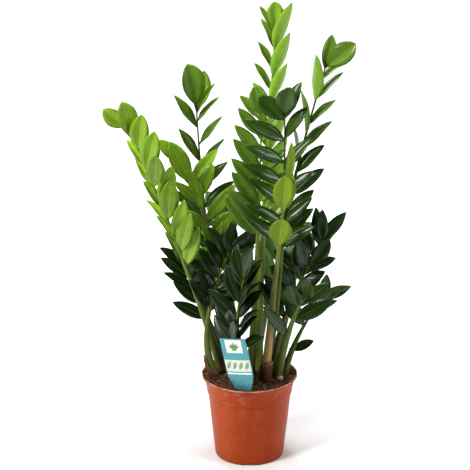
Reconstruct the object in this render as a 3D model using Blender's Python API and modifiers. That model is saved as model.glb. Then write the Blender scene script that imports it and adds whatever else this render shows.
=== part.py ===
"""Potted ZZ plant: arching fronds of paired leaflets that stand in a filled nursery pot.

Metres, +Z up. The origin is the middle of the pot's underside, and -Y is the front.
"""

import itertools
import math
import random
from typing import NamedTuple

import bmesh
import bpy
from mathutils import Matrix, Vector, noise
from mathutils.bvhtree import BVHTree

# Pot: half-width and height of the points of its section
POT_HEIGHT = 0.172
RIM_RADIUS = 0.0950
FOOT_RADIUS = 0.0690
FLOOR_TOP = 0.0065
CHANNEL_CEILING = 0.0045
TURNED_STEPS = 32
NOTCHES = 4
NOTCH_WIDTH = 0.030
NOTCH_HEIGHT = 0.0042
NOTCH_REACH = 0.020
DRAIN_HOLES = 6
DRAIN_RADIUS = 0.0045
DRAIN_RING = 0.045

# Soil
SOIL_LEVEL = 0.168
SOIL_MOUND = 0.003
SOIL_LUMP = 0.0022
SOIL_LUMP_SCALE = 55.0
GAP = 0.0004
STEM_DEPTH = 0.030

# Label
LABEL_WIDTH = 0.054
LABEL_STRAIGHT = 0.084
LABEL_TAPER = 0.060
LABEL_TIP_WIDTH = 0.012
LABEL_THICKNESS = 0.0009
LABEL_FOOT = Vector((-0.0065, -0.0760, 0.1430))
LABEL_LEAN = Vector((-0.20, -0.12, 1.0))
LABEL_ACROSS = Vector((1.0, -0.40, 0.0))

# Tuber nub that shows at the soil, and the dry sheaths
NUB_PLACE = Vector((0.0590, -0.0300, 0.1725))
NUB_SIZE = Vector((0.0068, 0.0060, 0.0062))
SHEATH_WALL = 0.0008
SHEATH_HEIGHT = 0.046
SHEATH_DEPTH = 0.008
SHEATH_PLAY = 0.0014
SHEATH_FLARE = 0.0010
SHEATH_SPAN = math.radians(215)
SHEATH_COLUMNS = 10
SHEATH_ROWS = 5

# Fronds
STEM_POINTS = 9
STEM_SIDES = 6
RACHIS_TIP_RADIUS = 0.0013
STEM_TAPER = 1.25
BLADE_THICKNESS = 0.0012
BLADE_STATIONS = (0.0, 0.24, 0.64, 1.0)
BLADE_STALK = 0.0016
BLADE_FOLD = math.radians(14)
BLADE_CLEARANCE = 0.0014
OWN_CLEARANCE = 0.0002
STEM_CLEARANCE = 0.0012
LABEL_ROOM = 0.003
RIM_ROOM = 0.004
LEAFLET_SWAY = (5, 5, 10, 0.06)
LOOK_UP = 0.25
ROOT_OUT = 0.6
SEED = 7

# What a leaflet may change to clear its neighbours: degrees, and a scale
SPLAY_TRIES = (0, 9, -9, 20, -20)
AZIMUTH_TRIES = (0, 18, -18, 40, -40)
ROLL_TRIES = (0, 22, -22, 45, -45)
SCALE_TRIES = (1.0, 0.86, 0.72)


class Stance(NamedTuple):
    """How a leaflet stands on its stem. Angles are in degrees."""

    share: float  # of the stem below it
    azimuth: float  # the way that it leans: 0 to the frond's front, 90 to the right, -90 to the left
    splay: float  # how far it leans from the stem
    roll: float  # 0 shows its upper side to the front, 90 its edge and 180 its underside
    length: float
    width: float  # as a share of its length


class Rank(NamedTuple):
    """A row of leaflets up a stem: how many, and how the lowest and the highest stand."""

    count: int
    lowest: tuple
    highest: tuple


class Frond(NamedTuple):
    """One frond: where its stem runs, and how its leaflets stand on it."""

    base: tuple  # where the stem leaves the soil
    elbow: tuple  # the point that the stem bows towards
    tip: tuple  # the end of the rachis
    stem: float  # radius at the soil
    facing: float  # degrees: the front looks at 0 front, 90 right, 180 back
    bend: float  # degrees by which a blade curls back along its length
    sway: float  # how unruly its leaflets are: 1 for the tidy ones
    ranks: tuple
    crown: tuple  # the leaflets that stand by themselves
    tone: str


class Leaflet(NamedTuple):
    """One blade: its root on the rachis, its three directions and its size."""

    root: Vector
    along: Vector
    across: Vector
    upper: Vector
    length: float
    width: float
    bend: float
    rise: float  # powers of its outline: from the root, and to the tip
    fall: float


# In the order in which they take their room
FRONDS = {
    "frond_front_young": Frond(
        base=(0.030, -0.033), elbow=(0.050, -0.053, 0.427), tip=(0.068, -0.072, 0.592),
        stem=0.0095, facing=0, bend=10, sway=0.3, ranks=(), tone="young",
        crown=(
            (0.635, -8, 13, 0, 0.064, 0.76), (0.825, -22, 12, 2, 0.076, 0.60),
            (0.84, 55, 16, 10, 0.070, 0.48), (1.0, -10, 3, 30, 0.080, 0.29),
        ),
    ),
    "frond_right_low_front": Frond(
        base=(0.054, -0.012), elbow=(0.077, -0.046, 0.310), tip=(0.106, -0.065, 0.358),
        stem=0.0105, facing=0, bend=14, sway=1, ranks=(), tone="dark",
        crown=(
            (0.42, -80, 44, 40, 0.096, 0.28), (0.60, 120, 46, 20, 0.084, 0.40),
            (0.80, -62, 50, 0, 0.054, 0.78), (0.93, -100, 30, 30, 0.050, 0.44),
            (1.0, -30, 40, 0, 0.058, 0.66), (0.86, 125, 34, 10, 0.066, 0.44),
        ),
    ),
    "frond_centre_dark": Frond(
        base=(0.024, -0.010), elbow=(0.069, -0.030, 0.318), tip=(0.063, -0.045, 0.712),
        stem=0.0100, facing=0, bend=14, sway=1, tone="dark",
        ranks=(
            Rank(6, (0.64, -75, 52, 40, 0.084, 0.32), (0.935, -72, 58, 35, 0.090, 0.33)),
            Rank(5, (0.62, 80, 44, 40, 0.074, 0.40), (0.94, 80, 32, 50, 0.074, 0.36)),
        ),
        crown=(
            (0.985, -75, 46, 10, 0.064, 0.56), (0.99, 80, 24, 40, 0.072, 0.40),
            (1.0, 10, 14, 0, 0.062, 0.72),
        ),
    ),
    "frond_left_arching": Frond(
        base=(-0.058, 0.034), elbow=(-0.095, -0.005, 0.333), tip=(-0.228, -0.040, 0.690),
        stem=0.0095, facing=0, bend=14, sway=1, tone="light",
        ranks=(
            Rank(8, (0.54, 60, 34, 14, 0.092, 0.38), (0.93, 55, 38, 8, 0.078, 0.54)),
            Rank(7, (0.55, -140, 16, 60, 0.070, 0.40), (0.95, -135, 17, 50, 0.060, 0.42)),
        ),
        crown=((0.965, 30, 22, 0, 0.072, 0.56), (0.995, -75, 22, 0, 0.060, 0.62)),
    ),
    "frond_centre_left": Frond(
        base=(0.000, -0.022), elbow=(0.012, -0.020, 0.313), tip=(0.021, -0.015, 0.707),
        stem=0.0100, facing=0, bend=14, sway=1, tone="mid",
        ranks=(
            Rank(7, (0.66, -70, 40, 12, 0.100, 0.36), (0.945, -75, 40, 20, 0.066, 0.38)),
            Rank(4, (0.68, 70, 40, 20, 0.080, 0.40), (0.93, 70, 36, 30, 0.066, 0.40)),
        ),
        crown=((0.985, -80, 44, 30, 0.062, 0.40), (1.0, -40, 26, 0, 0.060, 0.62)),
    ),
    "frond_right_arching": Frond(
        base=(0.047, 0.040), elbow=(0.027, 0.042, 0.376), tip=(0.143, 0.052, 0.780),
        stem=0.0100, facing=0, bend=10, sway=1, tone="dark",
        ranks=(
            Rank(7, (0.53, 80, 36, 30, 0.080, 0.40), (0.922, 90, 24, 66, 0.072, 0.34)),
            Rank(5, (0.58, -60, 22, 30, 0.080, 0.32), (0.915, -60, 18, 150, 0.096, 0.32)),
        ),
        crown=(
            (0.97, 90, 30, 72, 0.078, 0.36), (0.995, -60, 4, 0, 0.066, 0.42),
            (1.0, 70, 34, 0, 0.076, 0.60),
        ),
    ),
    "frond_tallest": Frond(
        base=(0.016, 0.022), elbow=(0.017, 0.025, 0.359), tip=(0.047, 0.030, 0.858),
        stem=0.0120, facing=0, bend=10, sway=0.5, tone="fresh",
        ranks=(
            Rank(11, (0.54, -90, 40, 40, 0.074, 0.38), (0.96, -110, 28, 60, 0.060, 0.40)),
            Rank(9, (0.52, 55, 28, 160, 0.092, 0.34), (0.96, 45, 17, 155, 0.096, 0.30)),
        ),
        crown=(
            (0.985, -95, 26, 60, 0.060, 0.38), (0.99, 110, 20, 50, 0.060, 0.36),
            (1.0, -20, 12, 0, 0.053, 0.66),
        ),
    ),
    "frond_dark_feathered": Frond(
        base=(-0.030, 0.040), elbow=(-0.083, 0.065, 0.294), tip=(-0.104, 0.090, 0.695),
        stem=0.0095, facing=0, bend=8, sway=1, tone="dark",
        ranks=(
            Rank(8, (0.54, 75, 56, 25, 0.088, 0.40), (0.960, 90, 42, 76, 0.066, 0.34)),
            Rank(6, (0.50, -75, 50, 30, 0.088, 0.40), (0.945, -90, 24, 60, 0.074, 0.36)),
        ),
        crown=(
            (0.98, 90, 30, 74, 0.070, 0.36), (0.985, -90, 16, 74, 0.068, 0.36),
            (0.99, 115, 14, 0, 0.084, 0.48),
            (1.0, -20, 6, 0, 0.086, 0.62),
        ),
    ),
    "frond_back_left": Frond(
        base=(-0.030, 0.010), elbow=(-0.072, 0.030, 0.520), tip=(-0.140, 0.035, 0.598),
        stem=0.0085, facing=0, bend=14, sway=1, tone="light",
        ranks=(
            Rank(3, (0.38, -60, 40, 20, 0.072, 0.38), (0.67, -40, 30, 20, 0.078, 0.30)),
        ),
        crown=(
            (0.36, 80, 60, 15, 0.080, 0.38), (0.40, -12, 18, 10, 0.076, 0.27),
            (0.43, 30, 34, 20, 0.076, 0.28), (0.48, 70, 50, 0, 0.066, 0.60),
            (0.57, 85, 66, 12, 0.094, 0.34), (0.64, 10, 14, 5, 0.080, 0.34),
            (0.70, 70, 40, 10, 0.074, 0.40), (0.80, 80, 60, 20, 0.086, 0.34),
            (0.81, -10, 12, 5, 0.092, 0.46), (1.0, 20, 12, 5, 0.056, 0.50),
        ),
    ),
    "frond_middle_dark": Frond(
        base=(-0.022, -0.046), elbow=(-0.034, -0.054, 0.290), tip=(-0.012, -0.058, 0.392),
        stem=0.0085, facing=-38, bend=14, sway=2.4, tone="deep",
        ranks=(
            Rank(7, (0.30, 80, 46, 40, 0.086, 0.36), (0.94, 80, 30, 30, 0.084, 0.36)),
            Rank(5, (0.30, -80, 50, 40, 0.086, 0.36), (0.92, -80, 34, 36, 0.080, 0.38)),
        ),
        crown=(
            (0.34, 30, 44, 10, 0.084, 0.36), (0.54, 12, 40, 0, 0.084, 0.34),
            (0.74, 40, 38, 5, 0.080, 0.36), (0.98, -60, 16, 20, 0.070, 0.44),
            (1.0, 30, 12, 0, 0.074, 0.46),
        ),
    ),
    "frond_left_low_front": Frond(
        base=(-0.068, -0.010), elbow=(-0.112, -0.010, 0.268), tip=(-0.038, 0.000, 0.430),
        stem=0.0095, facing=25, bend=14, sway=2.2, tone="deep",
        ranks=(
            Rank(6, (0.60, 75, 50, 35, 0.080, 0.40), (0.95, 75, 34, 40, 0.080, 0.38)),
            Rank(6, (0.62, -75, 55, 30, 0.080, 0.42), (0.95, -75, 40, 30, 0.078, 0.40)),
        ),
        crown=((0.98, -60, 16, 20, 0.070, 0.46), (1.0, 40, 12, 0, 0.074, 0.46)),
    ),
    "frond_right_low_rear": Frond(
        base=(0.069, 0.001), elbow=(0.090, 0.002, 0.259), tip=(0.143, 0.000, 0.328),
        stem=0.0080, facing=0, bend=14, sway=1, ranks=(), tone="dark",
        crown=(
            (0.29, 85, 36, 30, 0.046, 0.48), (0.62, -70, 60, 10, 0.074, 0.44),
            (0.78, 120, 30, 40, 0.060, 0.40), (0.93, -50, 22, 20, 0.070, 0.42),
            (0.98, 20, 16, 0, 0.056, 0.42), (1.0, 70, 6, 20, 0.066, 0.40),
        ),
    ),
    "frond_right_dark": Frond(
        base=(0.067, 0.022), elbow=(0.048, 0.040, 0.267), tip=(0.143, 0.050, 0.435),
        stem=0.0085, facing=0, bend=14, sway=1, tone="deep",
        ranks=(
            Rank(3, (0.62, 80, 24, 40, 0.070, 0.38), (0.92, 85, 14, 60, 0.062, 0.34)),
            Rank(4, (0.55, -70, 60, 10, 0.080, 0.44), (0.90, -70, 62, 8, 0.076, 0.46)),
        ),
        crown=(
            (0.965, -70, 40, 10, 0.076, 0.36), (0.99, -50, 30, 0, 0.068, 0.42),
            (1.0, 70, 18, 5, 0.076, 0.38),
        ),
    ),
    "frond_right_middle": Frond(
        base=(0.044, 0.012), elbow=(0.064, 0.010, 0.310), tip=(0.118, 0.010, 0.395),
        stem=0.0085, facing=0, bend=12, sway=1.5, tone="deep",
        ranks=(
            Rank(3, (0.56, 80, 30, 40, 0.070, 0.44), (0.93, 80, 24, 50, 0.066, 0.42)),
            Rank(5, (0.46, -65, 52, 24, 0.096, 0.34), (0.94, -70, 44, 16, 0.080, 0.42)),
        ),
        crown=((1.0, 10, 10, 0, 0.062, 0.52),),
    ),
    "frond_left_low_rear": Frond(
        base=(-0.047, 0.054), elbow=(-0.106, 0.052, 0.325), tip=(-0.128, 0.036, 0.385),
        stem=0.0085, facing=0, bend=14, sway=1.8, tone="deep",
        ranks=(
            Rank(5, (0.40, 75, 40, 30, 0.080, 0.40), (0.95, 75, 24, 30, 0.076, 0.40)),
            Rank(5, (0.36, -85, 36, 40, 0.076, 0.36), (0.95, -85, 20, 45, 0.074, 0.38)),
        ),
        crown=((1.0, -40, 10, 10, 0.066, 0.46),),
    ),
    "frond_rear_left": Frond(
        base=(-0.018, 0.066), elbow=(-0.040, 0.120, 0.330), tip=(-0.070, 0.190, 0.430),
        stem=0.0090, facing=170, bend=16, sway=2, tone="deep",
        ranks=(
            Rank(4, (0.40, 80, 46, 30, 0.086, 0.46), (0.94, 80, 32, 30, 0.078, 0.44)),
            Rank(4, (0.44, -80, 46, 30, 0.086, 0.46), (0.96, -80, 32, 30, 0.076, 0.44)),
        ),
        crown=((0.98, -60, 20, 10, 0.066, 0.50), (1.0, 30, 10, 0, 0.068, 0.52)),
    ),
    "frond_rear_right": Frond(
        base=(0.014, 0.066), elbow=(0.040, 0.130, 0.300), tip=(0.080, 0.205, 0.390),
        stem=0.0090, facing=190, bend=16, sway=2, tone="deep",
        ranks=(
            Rank(4, (0.40, 80, 46, 30, 0.086, 0.46), (0.94, 80, 32, 30, 0.078, 0.44)),
            Rank(3, (0.50, -80, 44, 30, 0.086, 0.46), (0.96, -80, 32, 30, 0.076, 0.44)),
        ),
        crown=((0.98, -60, 20, 10, 0.066, 0.50), (1.0, 30, 10, 0, 0.068, 0.52)),
    ),
}
# Fronds with a dry sheath round the foot, and the way that the sheath's middle looks
SHEATHED = {"frond_front_young": math.radians(-90), "frond_left_low_front": math.radians(-50)}

# Base colour, roughness and metallic value of each material
FINISHES = {
    "pot_plastic": ((0.42, 0.095, 0.035), 0.38, 0.0),
    "potting_soil": ((0.030, 0.018, 0.012), 0.95, 0.0),
    "label_plastic": ((0.05, 0.33, 0.38), 0.45, 0.0),
    "dry_sheath": ((0.16, 0.055, 0.025), 0.80, 0.0),
    "tuber_skin": ((0.42, 0.36, 0.27), 0.70, 0.0),
    "foliage_young": ((0.20, 0.36, 0.030), 0.42, 0.0),
    "foliage_light": ((0.13, 0.29, 0.018), 0.40, 0.0),
    "foliage_fresh": ((0.11, 0.26, 0.022), 0.36, 0.0),
    "foliage_mid": ((0.050, 0.155, 0.014), 0.32, 0.0),
    "foliage_dark": ((0.018, 0.070, 0.009), 0.28, 0.0),
    "foliage_deep": ((0.010, 0.042, 0.010), 0.28, 0.0),
}


def clear_scene():
    for obj in list(bpy.data.objects):
        bpy.data.objects.remove(obj)


def new_collection(name):
    collection = bpy.data.collections.new(name)
    bpy.context.scene.collection.children.link(collection)
    return collection


def material(name):
    found = bpy.data.materials.get(name)
    if found:
        return found
    colour, roughness, metallic = FINISHES[name]
    made = bpy.data.materials.new(name)
    made.use_nodes = True
    shader = made.node_tree.nodes["Principled BSDF"]
    shader.inputs["Base Color"].default_value = (*colour, 1.0)
    shader.inputs["Roughness"].default_value = roughness
    shader.inputs["Metallic"].default_value = metallic
    made.diffuse_color = (*colour, 1.0)
    return made


def link(name, data, collection, finish=None):
    obj = bpy.data.objects.new(name, data)
    collection.objects.link(obj)
    if finish:
        data.materials.append(material(finish))
    return obj


def as_cutter(obj):
    obj.hide_render = True
    obj.display_type = "WIRE"
    return obj


def meshed(obj):
    """Replaces the object by a plain mesh of what its modifiers or its curve make."""
    bpy.context.view_layer.update()
    graph = bpy.context.evaluated_depsgraph_get()
    mesh = bpy.data.meshes.new_from_object(obj.evaluated_get(graph))
    shape = bmesh.new()
    shape.from_mesh(mesh)
    bmesh.ops.remove_doubles(shape, verts=shape.verts, dist=1e-6)
    shape.to_mesh(mesh)
    shape.free()
    name, place, collection = obj.name, obj.matrix_world.copy(), obj.users_collection[0]
    bpy.data.objects.remove(obj)
    made = bpy.data.objects.new(name, mesh)
    made.matrix_world = place
    collection.objects.link(made)
    return made


def boolean(obj, operation, other=None, collection=None, solver="EXACT"):
    cut = obj.modifiers.new(operation.title(), "BOOLEAN")
    cut.operation = operation
    cut.solver = solver
    if collection:
        cut.operand_type = "COLLECTION"
        cut.collection = collection
    else:
        cut.object = other
    return cut


def turned(name, profile, collection, finish, steps=TURNED_STEPS):
    """A solid of revolution. The profile starts and ends on the axis and runs down the outside."""
    mesh = bpy.data.meshes.new(name)
    points = [(radius, 0.0, height) for radius, height in profile]
    mesh.from_pydata(points, list(zip(range(len(points) - 1), range(1, len(points)))), [])
    obj = link(name, mesh, collection, finish)
    screw = obj.modifiers.new("Turn", "SCREW")
    screw.steps = steps
    screw.render_steps = steps
    screw.use_merge_vertices = True
    screw.merge_threshold = 1e-5
    return obj


def wall_radius(height):
    """Inner radius of the pot's wall at a height, read from its section."""
    section = pot_inner_section()
    for (low_r, low_z), (high_r, high_z) in zip(section, section[1:]):
        if low_z <= height <= high_z and high_z > low_z:
            return low_r + (high_r - low_r) * (height - low_z) / (high_z - low_z)
    return section[-1][0]


def pot_inner_section():
    return [
        (0.0, FLOOR_TOP),
        (FOOT_RADIUS - 0.0035, FLOOR_TOP),
        (FOOT_RADIUS - 0.0012, FLOOR_TOP + 0.0035),
        (0.0782, 0.1075),
        (0.0806, 0.1310),
        (0.0824, 0.1340),
        (0.0867, 0.1600),
        (0.0905, 0.1660),
        (RIM_RADIUS - 0.0025, POT_HEIGHT),
    ]


def pot_outer_section():
    return [
        (RIM_RADIUS - 0.0007, POT_HEIGHT),
        (RIM_RADIUS, POT_HEIGHT - 0.0015),
        (RIM_RADIUS - 0.0004, POT_HEIGHT - 0.0038),
        (0.0920, 0.1650),
        (0.0885, 0.1600),
        (0.0842, 0.1340),
        (0.0824, 0.1305),
        (0.0800, 0.1075),
        (FOOT_RADIUS + 0.0007, 0.0100),
        (FOOT_RADIUS, 0.0030),
        (FOOT_RADIUS - 0.0015, 0.0),
        (FOOT_RADIUS - 0.0060, 0.0),
        (FOOT_RADIUS - 0.0070, CHANNEL_CEILING),
        (0.0270, CHANNEL_CEILING),
        (0.0255, 0.0),
        (0.0, 0.0),
    ]


def block(name, size, place, turn, collection):
    shape = bmesh.new()
    bmesh.ops.create_cube(shape, size=1.0)
    bmesh.ops.scale(shape, vec=size, verts=shape.verts)
    mesh = bpy.data.meshes.new(name)
    shape.to_mesh(mesh)
    shape.free()
    obj = as_cutter(link(name, mesh, collection))
    obj.matrix_world = Matrix.Rotation(turn, 4, "Z") @ Matrix.Translation(place)
    return obj


def drain(name, turn, collection):
    shape = bmesh.new()
    bmesh.ops.create_cone(
        shape, cap_ends=True, segments=8, radius1=DRAIN_RADIUS, radius2=DRAIN_RADIUS,
        depth=4 * FLOOR_TOP,
    )
    mesh = bpy.data.meshes.new(name)
    shape.to_mesh(mesh)
    shape.free()
    obj = as_cutter(link(name, mesh, collection))
    obj.matrix_world = Matrix.Rotation(turn, 4, "Z") @ Matrix.Translation((DRAIN_RING, 0, FLOOR_TOP))
    return obj


def make_pot(parts, cutters):
    """The moulded pot: its foot is notched and its floor is drilled for drainage."""
    pot = turned("pot", pot_inner_section() + pot_outer_section(), parts, "pot_plastic")
    openings = bpy.data.collections.new("pot_openings")
    cutters.children.link(openings)
    for k in range(NOTCHES):
        turn = math.tau * (k / NOTCHES - 0.25)
        size = (NOTCH_REACH, NOTCH_WIDTH, 2 * NOTCH_HEIGHT)
        block(f"notch_{k}", size, (FOOT_RADIUS - NOTCH_REACH / 5, 0, 0), turn, openings)
    for k in range(DRAIN_HOLES):
        drain(f"drain_{k}", math.tau * (k + 0.5) / DRAIN_HOLES, openings)
    boolean(pot, "DIFFERENCE", collection=openings)
    pot.data.shade_smooth()
    return pot


def soil_profile():
    wall = [(wall_radius(z) - GAP, z) for z in (FLOOR_TOP + 0.0045, 0.1075, 0.1300, 0.1350, 0.1600)]
    edge = wall_radius(SOIL_LEVEL) - GAP
    rings = [(edge * share, SOIL_LEVEL) for share in (0.16, 0.34, 0.52, 0.68, 0.82, 0.93)]
    floor = [(FOOT_RADIUS - 0.0052, FLOOR_TOP + GAP), (0.0, FLOOR_TOP + GAP)]
    top = [(0.0, SOIL_LEVEL)] + rings + [(edge, SOIL_LEVEL - 0.001)]
    return top + wall[::-1] + floor


def soil_height(x, y):
    """Height of the soil's surface: a low mound with lumps."""
    away = math.hypot(x, y) / RIM_RADIUS
    lump = noise.noise(Vector((x, y, 0.3)) * SOIL_LUMP_SCALE)
    fade = min(1.0, max(0.0, (0.97 - away) * 12))
    return SOIL_LEVEL + SOIL_MOUND * max(0.0, 1 - away * away) + SOIL_LUMP * lump * fade


def make_soil(parts, cutters):
    """Potting mix, with a plain hole for each stem, sheath, nub and the label."""
    soil = turned("soil", soil_profile(), parts, "potting_soil")
    soil = meshed(soil)
    soil.data.materials.clear()
    soil.data.materials.append(material("potting_soil"))
    for vertex in soil.data.vertices:
        if vertex.co.z > SOIL_LEVEL - 0.0005:
            vertex.co.z = soil_height(vertex.co.x, vertex.co.y)
    boolean(soil, "DIFFERENCE", collection=cutters)
    return soil


def stem_point(frond, s):
    """Point of a stem: s is 0 where it leaves the soil and 1 at the end of the rachis."""
    base = Vector((*frond.base, SOIL_LEVEL))
    elbow, tip = Vector(frond.elbow), Vector(frond.tip)
    if s < 0:
        return base + Vector((0, 0, s))
    return base * (1 - s) ** 2 + elbow * (2 * s * (1 - s)) + tip * s * s


def stem_radius(frond, s):
    return RACHIS_TIP_RADIUS + (frond.stem - RACHIS_TIP_RADIUS) * (1 - max(s, 0.0)) ** STEM_TAPER


def stem_stations():
    """Shares along the stem at which its tube has a ring. The first is its buried end."""
    return [-STEM_DEPTH] + [k / (STEM_POINTS - 1) for k in range(STEM_POINTS)]


def tube(name, rings, collection, finish=None):
    """A tapered tube through (point, radius) rings."""
    curve = bpy.data.curves.new(name, "CURVE")
    curve.dimensions = "3D"
    curve.bevel_depth = 1.0
    curve.bevel_resolution = STEM_SIDES // 2 - 2
    curve.use_fill_caps = True
    spline = curve.splines.new("POLY")
    spline.points.add(len(rings) - 1)
    for point, (place, radius) in zip(spline.points, rings):
        point.co = (*place, 1.0)
        point.radius = radius
    made = meshed(link(name, curve, collection))
    if finish:
        made.data.materials.clear()
        made.data.materials.append(material(finish))
    return made


def cut_stem_hole(name, frond, cutters):
    """The hole that a stem stands in. A sheathed stem's hole takes its sheath too."""
    room = SHEATH_PLAY + 2 * SHEATH_WALL if name in SHEATHED else 0.0
    stations = [-STEM_DEPTH - GAP] + [k / (STEM_POINTS - 1) for k in range(2)]
    flats = math.cos(math.pi / STEM_SIDES) if name in SHEATHED else 1.0
    rings = [(stem_point(frond, s), (stem_radius(frond, s) + GAP + room) / flats) for s in stations]
    as_cutter(tube("hole_" + name, rings, cutters))


def between(ends, share):
    return ends[0] + (ends[1] - ends[0]) * share


def stances(frond):
    """How each leaflet of a frond stands, from below."""
    found = [Stance(*numbers) for numbers in frond.crown]
    for rank in frond.ranks:
        for k in range(rank.count):
            rise = k / (rank.count - 1)
            found.append(Stance(*(between(ends, rise) for ends in zip(rank.lowest, rank.highest))))
    return sorted(found, key=lambda stance: stance.share)


def leaflet_on(frond, stance, change):
    """A frond's leaflet, with a small change to how it stands."""
    splay_more, azimuth_more, roll_more, scale = change
    s = stance.share
    ahead = (stem_point(frond, s + 0.01) - stem_point(frond, s - 0.01)).normalized()
    facing = math.radians(frond.facing)
    look = Vector((math.sin(facing), -math.cos(facing), LOOK_UP))
    front = (look - ahead * look.dot(ahead)).normalized()
    azimuth = math.radians(stance.azimuth + azimuth_more)
    splay = math.radians(stance.splay + splay_more)
    out = front * math.cos(azimuth) + ahead.cross(front) * math.sin(azimuth)
    along = ahead * math.cos(splay) + out * math.sin(splay)
    flat = (front - along * front.dot(along)).normalized()
    inward = -1 if stance.azimuth > 0 else 1
    roll = math.radians(stance.roll + roll_more) * inward
    upper = flat * math.cos(roll) + along.cross(flat) * math.sin(roll)
    length = stance.length * scale
    blunt = min(max((stance.width - 0.30) / 0.36, 0.0), 1.0)
    return Leaflet(
        stem_point(frond, s) + out * stem_radius(frond, s) * ROOT_OUT,
        along, upper.cross(along), upper, length, stance.width * length,
        math.radians(frond.bend), 0.78 + 0.22 * blunt, 0.95 - 0.32 * blunt,
    )


def blade_outline(leaflet, t):
    """Half-width of a blade at share t of its length, as a share of the widest."""
    rise, fall = leaflet.rise, leaflet.fall
    widest = rise / (rise + fall)
    return (t / widest) ** rise * ((1 - t) / (1 - widest)) ** fall


def blade_point(leaflet, t, side, lift=0.0):
    """Point of a blade: t runs along it, side from -1 to 1 across it, lift stands off it."""
    turn = leaflet.bend * t
    reach = leaflet.length * math.sin(turn) / leaflet.bend
    drop = leaflet.length * (1 - math.cos(turn)) / leaflet.bend
    stalk = BLADE_STALK * (1 - t)
    half = max(leaflet.width / 2 * blade_outline(leaflet, t), stalk) * side
    across = leaflet.across * (half * math.cos(BLADE_FOLD))
    height = abs(half) * math.sin(BLADE_FOLD) - drop + lift
    return leaflet.root + leaflet.along * reach + across + leaflet.upper * height


def blade_grid():
    """(t, side) of each vertex of a blade, its triangles and its border. The tip is one point."""
    shape = bmesh.new()
    spans = len(BLADE_STATIONS) - 1
    bmesh.ops.create_grid(shape, x_segments=spans, y_segments=2, size=1.0)
    tip = [v for v in shape.verts if v.co.x > 0.99]
    bmesh.ops.pointmerge(shape, verts=tip, merge_co=(1.0, 0.0, 0.0))
    bmesh.ops.triangulate(shape, faces=shape.faces, quad_method="FIXED")
    bmesh.ops.recalc_face_normals(shape, faces=shape.faces)
    shape.verts.index_update()
    spots = [
        (BLADE_STATIONS[round((v.co.x + 1) / 2 * spans)], round(v.co.y, 3)) for v in shape.verts
    ]
    faces = [tuple(v.index for v in face.verts) for face in shape.faces]
    border = [tuple(v.index for v in edge.verts) for edge in shape.edges if edge.is_boundary]
    shape.free()
    return spots, faces, border


def blade_room(leaflet, grid, clearance, stalked=True):
    """The room that a blade takes up, with a clearance, as a tree to test against."""
    spots, faces, border = grid
    if not stalked:
        faces = [face for face in faces if all(spots[i][0] > 0 for i in face)]
        border = [edge for edge in border if all(spots[i][0] > 0 for i in edge)]
    count = len(spots)
    lift = BLADE_THICKNESS / 2 + clearance
    points = [blade_point(leaflet, *spot, lift=sign * lift) for sign in (1, -1) for spot in spots]
    triangles = faces + [tuple(i + count for i in face) for face in faces]
    for a, b in border:
        triangles += [(a, b, b + count), (a, b + count, a + count)]
    return room_of(points, triangles)


def room_of(points, triangles):
    low = [min(p[axis] for p in points) for axis in range(3)]
    high = [max(p[axis] for p in points) for axis in range(3)]
    return BVHTree.FromPolygons(points, triangles, all_triangles=True), low, high


def stem_room(frond):
    """The room that a stem takes up, as rings."""
    points = []
    stations = stem_stations()
    for s in stations:
        ahead = (stem_point(frond, s + 0.01) - stem_point(frond, s - 0.01)).normalized()
        right = ahead.cross(Vector((0, 1, 0))).normalized()
        reach = stem_radius(frond, s) + STEM_CLEARANCE
        for k in range(STEM_SIDES):
            turn = math.tau * k / STEM_SIDES
            ray = right * math.cos(turn) + ahead.cross(right) * math.sin(turn)
            points.append(stem_point(frond, s) + ray * reach)
    triangles = []
    for ring, k in itertools.product(range(len(stations) - 1), range(STEM_SIDES)):
        a, b = ring * STEM_SIDES + k, ring * STEM_SIDES + (k + 1) % STEM_SIDES
        triangles += [(a, b, b + STEM_SIDES), (a, b + STEM_SIDES, a + STEM_SIDES)]
    return room_of(points, triangles)


def meets(room, other):
    (tree, low, high), (other_tree, other_low, other_high) = room, other
    if any(low[axis] > other_high[axis] or other_low[axis] > high[axis] for axis in range(3)):
        return False
    return bool(tree.overlap(other_tree))


def guard_rooms():
    """The label and the top of the pot, which no blade may touch."""
    across, up, out = label_axes()
    outline = label_outline(LABEL_ROOM)
    corners = [LABEL_FOOT + across * x + up * y for x, y in outline]
    label = [spot + lift * out for lift in (LABEL_ROOM, -LABEL_ROOM) for spot in corners]
    face = [(0, 1, 4), (0, 4, 5), (1, 2, 3), (1, 3, 4)]
    triangles = face + [tuple(i + len(corners) for i in three) for three in face]
    middle = Vector((0, 0, POT_HEIGHT + RIM_ROOM))
    reach = RIM_RADIUS + RIM_ROOM
    turns = [math.tau * k / TURNED_STEPS for k in range(TURNED_STEPS)]
    lid = [middle + Vector((math.cos(turn), math.sin(turn), 0)) * reach for turn in turns]
    fan = [(k, (k + 1) % TURNED_STEPS, TURNED_STEPS) for k in range(TURNED_STEPS)]
    return [room_of(label, triangles), room_of(lid + [middle], fan)]


def changes():
    """What a leaflet may change to clear its neighbours, the gentlest first."""
    tries = itertools.product(SPLAY_TRIES, AZIMUTH_TRIES, ROLL_TRIES, SCALE_TRIES)
    return sorted(tries, key=lambda t: abs(t[0]) + abs(t[1]) + abs(t[2]) / 2 + 100 * (1 - t[3]))


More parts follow.
